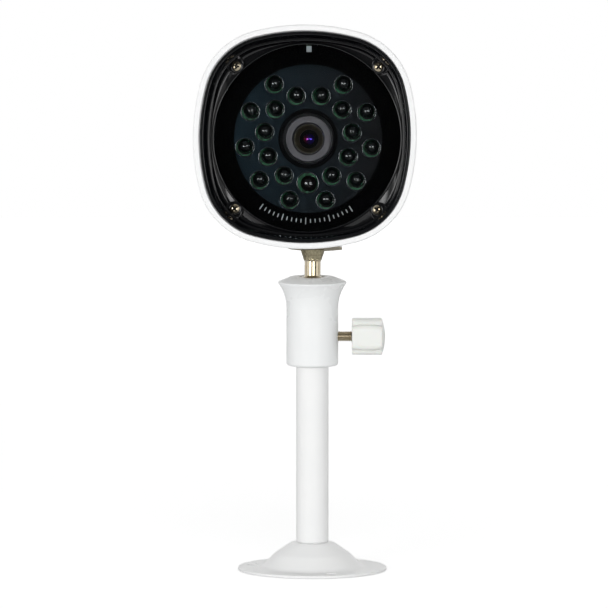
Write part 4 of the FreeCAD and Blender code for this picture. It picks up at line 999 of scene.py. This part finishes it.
element = lathe(crown + [(3.4, CONE_BACK_W), (5.4, CONE_BACK_W + 0.05), (5.4, element_back),
                         (0, element_back)], 96)
for face in element.faces:
    face.material_index = int(face.calc_center_median().xy.length > CLEAR_EYE_R)
element_piece = settle("coated_element", element, HEAD, "lens_glass", "lens_front_element")
element_piece.data.materials.append(FINISHES["foam_black"])
turned("foam_sleeve", "black_rubber", "lens_light_shield",
       [(9.45, 16.65, 0.1), (12.5, 16.65, 0.3), (12.5, 20.95, 0.3), (9.45, 20.95)],
       finish="foam_black")

# %% [markdown]
# The back of the head is a cast cover with a rounded edge and a shallow field in its middle, held
# by four screws.  A thin rubber seal shows as a dark line between the cover and the housing.

# %% Rear cover
COVER_W = SHELL_LENGTH + 1.0
COVER_BACK = COVER_W + 3.5
REAR_SCREW_AT = 21.4
edge_w = COVER_BACK - 1.2
cover = loft(squircles([(3.0, COVER_W), (skin(COVER_W), COVER_W, 0.25), (skin(edge_w), edge_w, 0.4),
                        (skin(edge_w) - 1.2, COVER_BACK, 0.4), (26.0, COVER_BACK, 0.6),
                        (25.4, COVER_BACK - 0.5, 0.3), (3.0, COVER_BACK - 0.5)]))
settle("cast_rear_cover", cover, HEAD, "white_housing", "rear_cover", crease=40)
seal = loft(squircles([(skin(SHELL_LENGTH, WALL), SHELL_LENGTH),
                       (skin(SHELL_LENGTH, 0.4), SHELL_LENGTH, 0.3),
                       (skin(COVER_W, 0.4), COVER_W, 0.3), (skin(COVER_W, WALL), COVER_W)]))
settle("rear_seal", seal, HEAD, "black_rubber", "rear_gasket")
screw_set("rear_screws", 2.75, 2.0,
          corner_spots(REAR_SCREW_AT, COVER_BACK - 0.5, HERE),
          (0.4, 1.2, 0.1, 0.7), HEAD, "rear_cover_screws", "zinc_steel")

# %% [markdown]
# The cable gland is a hexagon flange, a dome nut with finger ribs, and a rubber sleeve that closes
# on the cable when the nut is tightened.  The ribs are made as on the knurl: every third line of
# points of a turned dome is pulled inwards.

# %% Cable gland
GLAND_V, GLAND_HEX, GLAND_BORE = -6.0, 15.0, 3.3


def hexagon(across, low, high, bore):
    """A chamfered hexagon nut about Z with a round bore."""
    nut = bmesh.new()
    bmesh.ops.create_cone(nut, cap_ends=True, segments=6, radius1=across / math.sqrt(3),
                          radius2=across / math.sqrt(3), depth=high - low,
                          matrix=Matrix.Translation((0, 0, (low + high) / 2)))
    round_edges(nut, list(nut.edges), 0.35, 3)
    return minus(nut, rods([(0, 0)], bore, low - 1, high + 1))


flange_w = COVER_BACK + 0.8
nut_w = flange_w + 4.8
body = hexagon(GLAND_HEX, flange_w, flange_w + 4.0, 5.9)
neck_w = COVER_BACK + 14
add_copy(body, lathe([(4.7, COVER_W - 6), (6.0, COVER_W - 6, 0.3), (6.0, neck_w, 0.3),
                      (4.7, neck_w)], 64), HERE)
GLAND = head_at(0, GLAND_V)
settle("gland_flange", body, GLAND, "natural_nylon", "gland_body")
turned("gland_rubber_washer", "black_rubber", "gland_washer",
       [(6.1, COVER_BACK), (7.5, COVER_BACK, 0.15), (7.5, flange_w, 0.15), (6.1, flange_w)],
       64, pose=GLAND)
nut = hexagon(GLAND_HEX, nut_w, nut_w + 6.0, 6.05)
DOME_POINTS = 72
dome = lathe([(6.05, nut_w + 5.5), (7.4, nut_w + 5.5), (7.4, nut_w + 8.5, 2.0),
              (4.9, nut_w + 12.6, 0.6), (3.8, nut_w + 12.6, 0.2), (3.8, nut_w + 9.6),
              (6.05, nut_w + 9.6)], DOME_POINTS)
for vert in dome.verts:
    line = round(math.atan2(vert.co.y, vert.co.x) / math.tau * DOME_POINTS)
    if line % 3 == 0 and vert.co.xy.length > 6.4 and vert.co.z < nut_w + 9:
        vert.co.xy *= 0.95
add_copy(nut, dome, HERE)
settle("gland_ribbed_nut", nut, GLAND, "natural_nylon", "gland_dome_nut", crease=30)
turned("gland_bung", "black_rubber", "gland_seal",
       [(GLAND_BORE, COVER_BACK + 4), (4.65, COVER_BACK + 4), (4.65, neck_w), (5.6, neck_w),
        (5.6, neck_w + 1.1, 0.2), (GLAND_BORE, neck_w + 1.1, 0.3)], 64, pose=GLAND)

# %% [markdown]
# The pieces inside keep their CAD shapes, which are right, and take the finish of their slot.

# %% Finishes on the CAD pieces
for node, thing in frame["nodes"].items():
    names = [slot.material.name.split(".")[0] for slot in thing.material_slots if slot.material]
    for k, name in enumerate(names):
        if name in FINISHES:
            thing.material_slots[k].material = FINISHES[name]
        else:
            print("no finish for", node, name)

# %% [markdown]
# The set is a plain white floor under soft light.  The floor keeps the object's shadow, and a
# little light of its own, for camera rays only, brings the rest of it up to white.  It isn't seen
# from behind the window, so no pale floor is mirrored in the lamps.

# %% Floor
FLOOR_LIFT, FLOOR_SIZE, FLOOR_Z = 0.47, 3.0, -0.0002


def floor_finish():
    material = bpy.data.materials.new("white_paper_sweep")
    material.use_nodes = True
    tree = material.node_tree
    paper = tree.nodes["Principled BSDF"]
    paper.inputs["Base Color"].default_value = hex_colour("F2F2F2")
    paper.inputs["Roughness"].default_value = 0.9
    paper.inputs["Specular IOR Level"].default_value = 0.0
    rays = add(tree, "ShaderNodeLightPath")
    lit = add(tree, "ShaderNodeEmission")
    strength = add(tree, "ShaderNodeMath", {1: FLOOR_LIFT}, {0: rays.outputs["Is Camera Ray"]},
                   operation="MULTIPLY")
    tree.links.new(strength.outputs["Value"], lit.inputs["Strength"])
    both = add(tree, "ShaderNodeAddShader",
               links={0: paper.outputs["BSDF"], 1: lit.outputs["Emission"]})
    tree.links.new(both.outputs["Shader"], tree.nodes["Material Output"].inputs["Surface"])
    return material


floor_mesh = bmesh.new()
bmesh.ops.create_grid(floor_mesh, x_segments=2, y_segments=2, size=FLOOR_SIZE / 2)
floor_data = bpy.data.meshes.new("floor")
floor_mesh.to_mesh(floor_data)
floor_mesh.free()
floor_data.materials.append(floor_finish())
floor = show("floor", floor_data)
floor.location.z = FLOOR_Z
floor.visible_transmission = False

# %% [markdown]
# Two soft boxes stand in front, one on each side.  They light the white parts evenly, draw the
# bright lines down the bezel, and leave a double glint on every lamp.  The flat window mirrors the
# gap between them, so it stays clear.  Two strips near the floor light what leans forward, and
# fills lift the top, the sides and the back.  A fill that would draw a mirror image of itself is
# hidden from glossy rays, or from rays that leave through the window.

# %% Lights
def soft_box(name, where, size, watts, hidden_from):
    """An area light (metres and watts) that looks at the middle of the object."""
    lamp = bpy.data.lights.new(name, "AREA")
    lamp.shape, lamp.size, lamp.size_y, lamp.energy = "RECTANGLE", size[0], size[1], watts
    box = show(name, lamp)
    box.location = where
    box.rotation_euler = (LOOK_AT - box.location).to_track_quat("-Z", "Y").to_euler()
    for kind in hidden_from:
        setattr(box, "visible_" + kind, False)


LOOK_AT = Vector((0, 0, 0.11))
for lamp in (("left_box", (-1.35, -2.10, 0.56), (0.95, 0.76), 15.5, ()),
             ("right_box", (0.60, -2.42, 0.56), (1.25, 0.76), 13.2, ()),
             ("top_fill", (0.0, -1.6, 1.9), (1.0, 1.0), 3.5, ("glossy", "transmission")),
             ("left_fill", (-2.0, -0.81, 0.50), (1.2, 1.2), 5.5, ("transmission",)),
             ("right_fill", (2.0, -0.81, 0.50), (1.2, 1.2), 5.5, ("transmission",)),
             ("left_strip", (-0.80, -1.27, 0.05), (0.9, 0.06), 1.1, ()),
             ("right_strip", (0.55, -1.39, 0.05), (0.9, 0.06), 1.1, ()),
             ("back_fill", (0.4, 2.2, 0.6), (1.2, 0.8), 14, ("glossy",))):
    soft_box(*lamp)

# %% [markdown]
# The room is white behind the object: strength 1 is what the camera sees, and what metal and glass
# mirror from there.  In front, round the camera, what they mirror is dark, and that makes black
# parts look black.  Matt surfaces get a soft even light from all round.

# %% Room
ROOM, ROOM_FRONT, ROOM_BACK, TURN_WIDTH = 0.37, 0.12, 1.0, 0.3
world = bpy.data.worlds.new("white_room")
bpy.context.scene.world = world
world.use_nodes = True
sky = world.node_tree
rays = add(sky, "ShaderNodeLightPath")
towards = add(sky, "ShaderNodeSeparateXYZ", links={
    0: add(sky, "ShaderNodeTexCoord").outputs["Generated"]})
behind = add(sky, "ShaderNodeMapRange",
             {"From Min": -TURN_WIDTH, "From Max": TURN_WIDTH, "To Min": ROOM_FRONT,
              "To Max": ROOM_BACK}, {"Value": towards.outputs["Y"]})
mirrored = add(sky, "ShaderNodeMath", links={0: rays.outputs["Is Glossy Ray"],
                                             1: rays.outputs["Is Transmission Ray"]},
               operation="MAXIMUM")
level = add(sky, "ShaderNodeMix", {2: ROOM}, {0: mirrored.outputs["Value"],
                                              3: behind.outputs["Result"]})
level = add(sky, "ShaderNodeMath", links={0: level.outputs[0], 1: rays.outputs["Is Camera Ray"]},
            operation="MAXIMUM")
room = sky.nodes["Background"]
room.inputs["Color"].default_value = (1, 1, 1, 1)
sky.links.new(level.outputs["Value"], room.inputs["Strength"])

# %% [markdown]
# The camera stands three metres off with a long lens and looks a few degrees down at the middle of
# the object.  A long lens keeps upright edges parallel, as in a catalogue view.

# %% Camera
LENS_MM, DISTANCE, ELEVATION = 476.05, 2.98, 5.6
TARGET = Vector((-3.1, 0, 99.0)) * MM
tilt = math.radians(ELEVATION)
camera_data = bpy.data.cameras.new("catalogue_camera")
camera_data.lens, camera_data.sensor_width = LENS_MM, 36.0
camera_data.clip_end = 50.0
camera = show("catalogue_camera", camera_data)
camera.location = TARGET + DISTANCE * Vector((0, -math.cos(tilt), math.sin(tilt)))
camera.rotation_euler = (math.radians(90) - tilt, 0, 0)
bpy.context.scene.camera = camera
bpy.context.scene.view_settings.view_transform = "Standard"
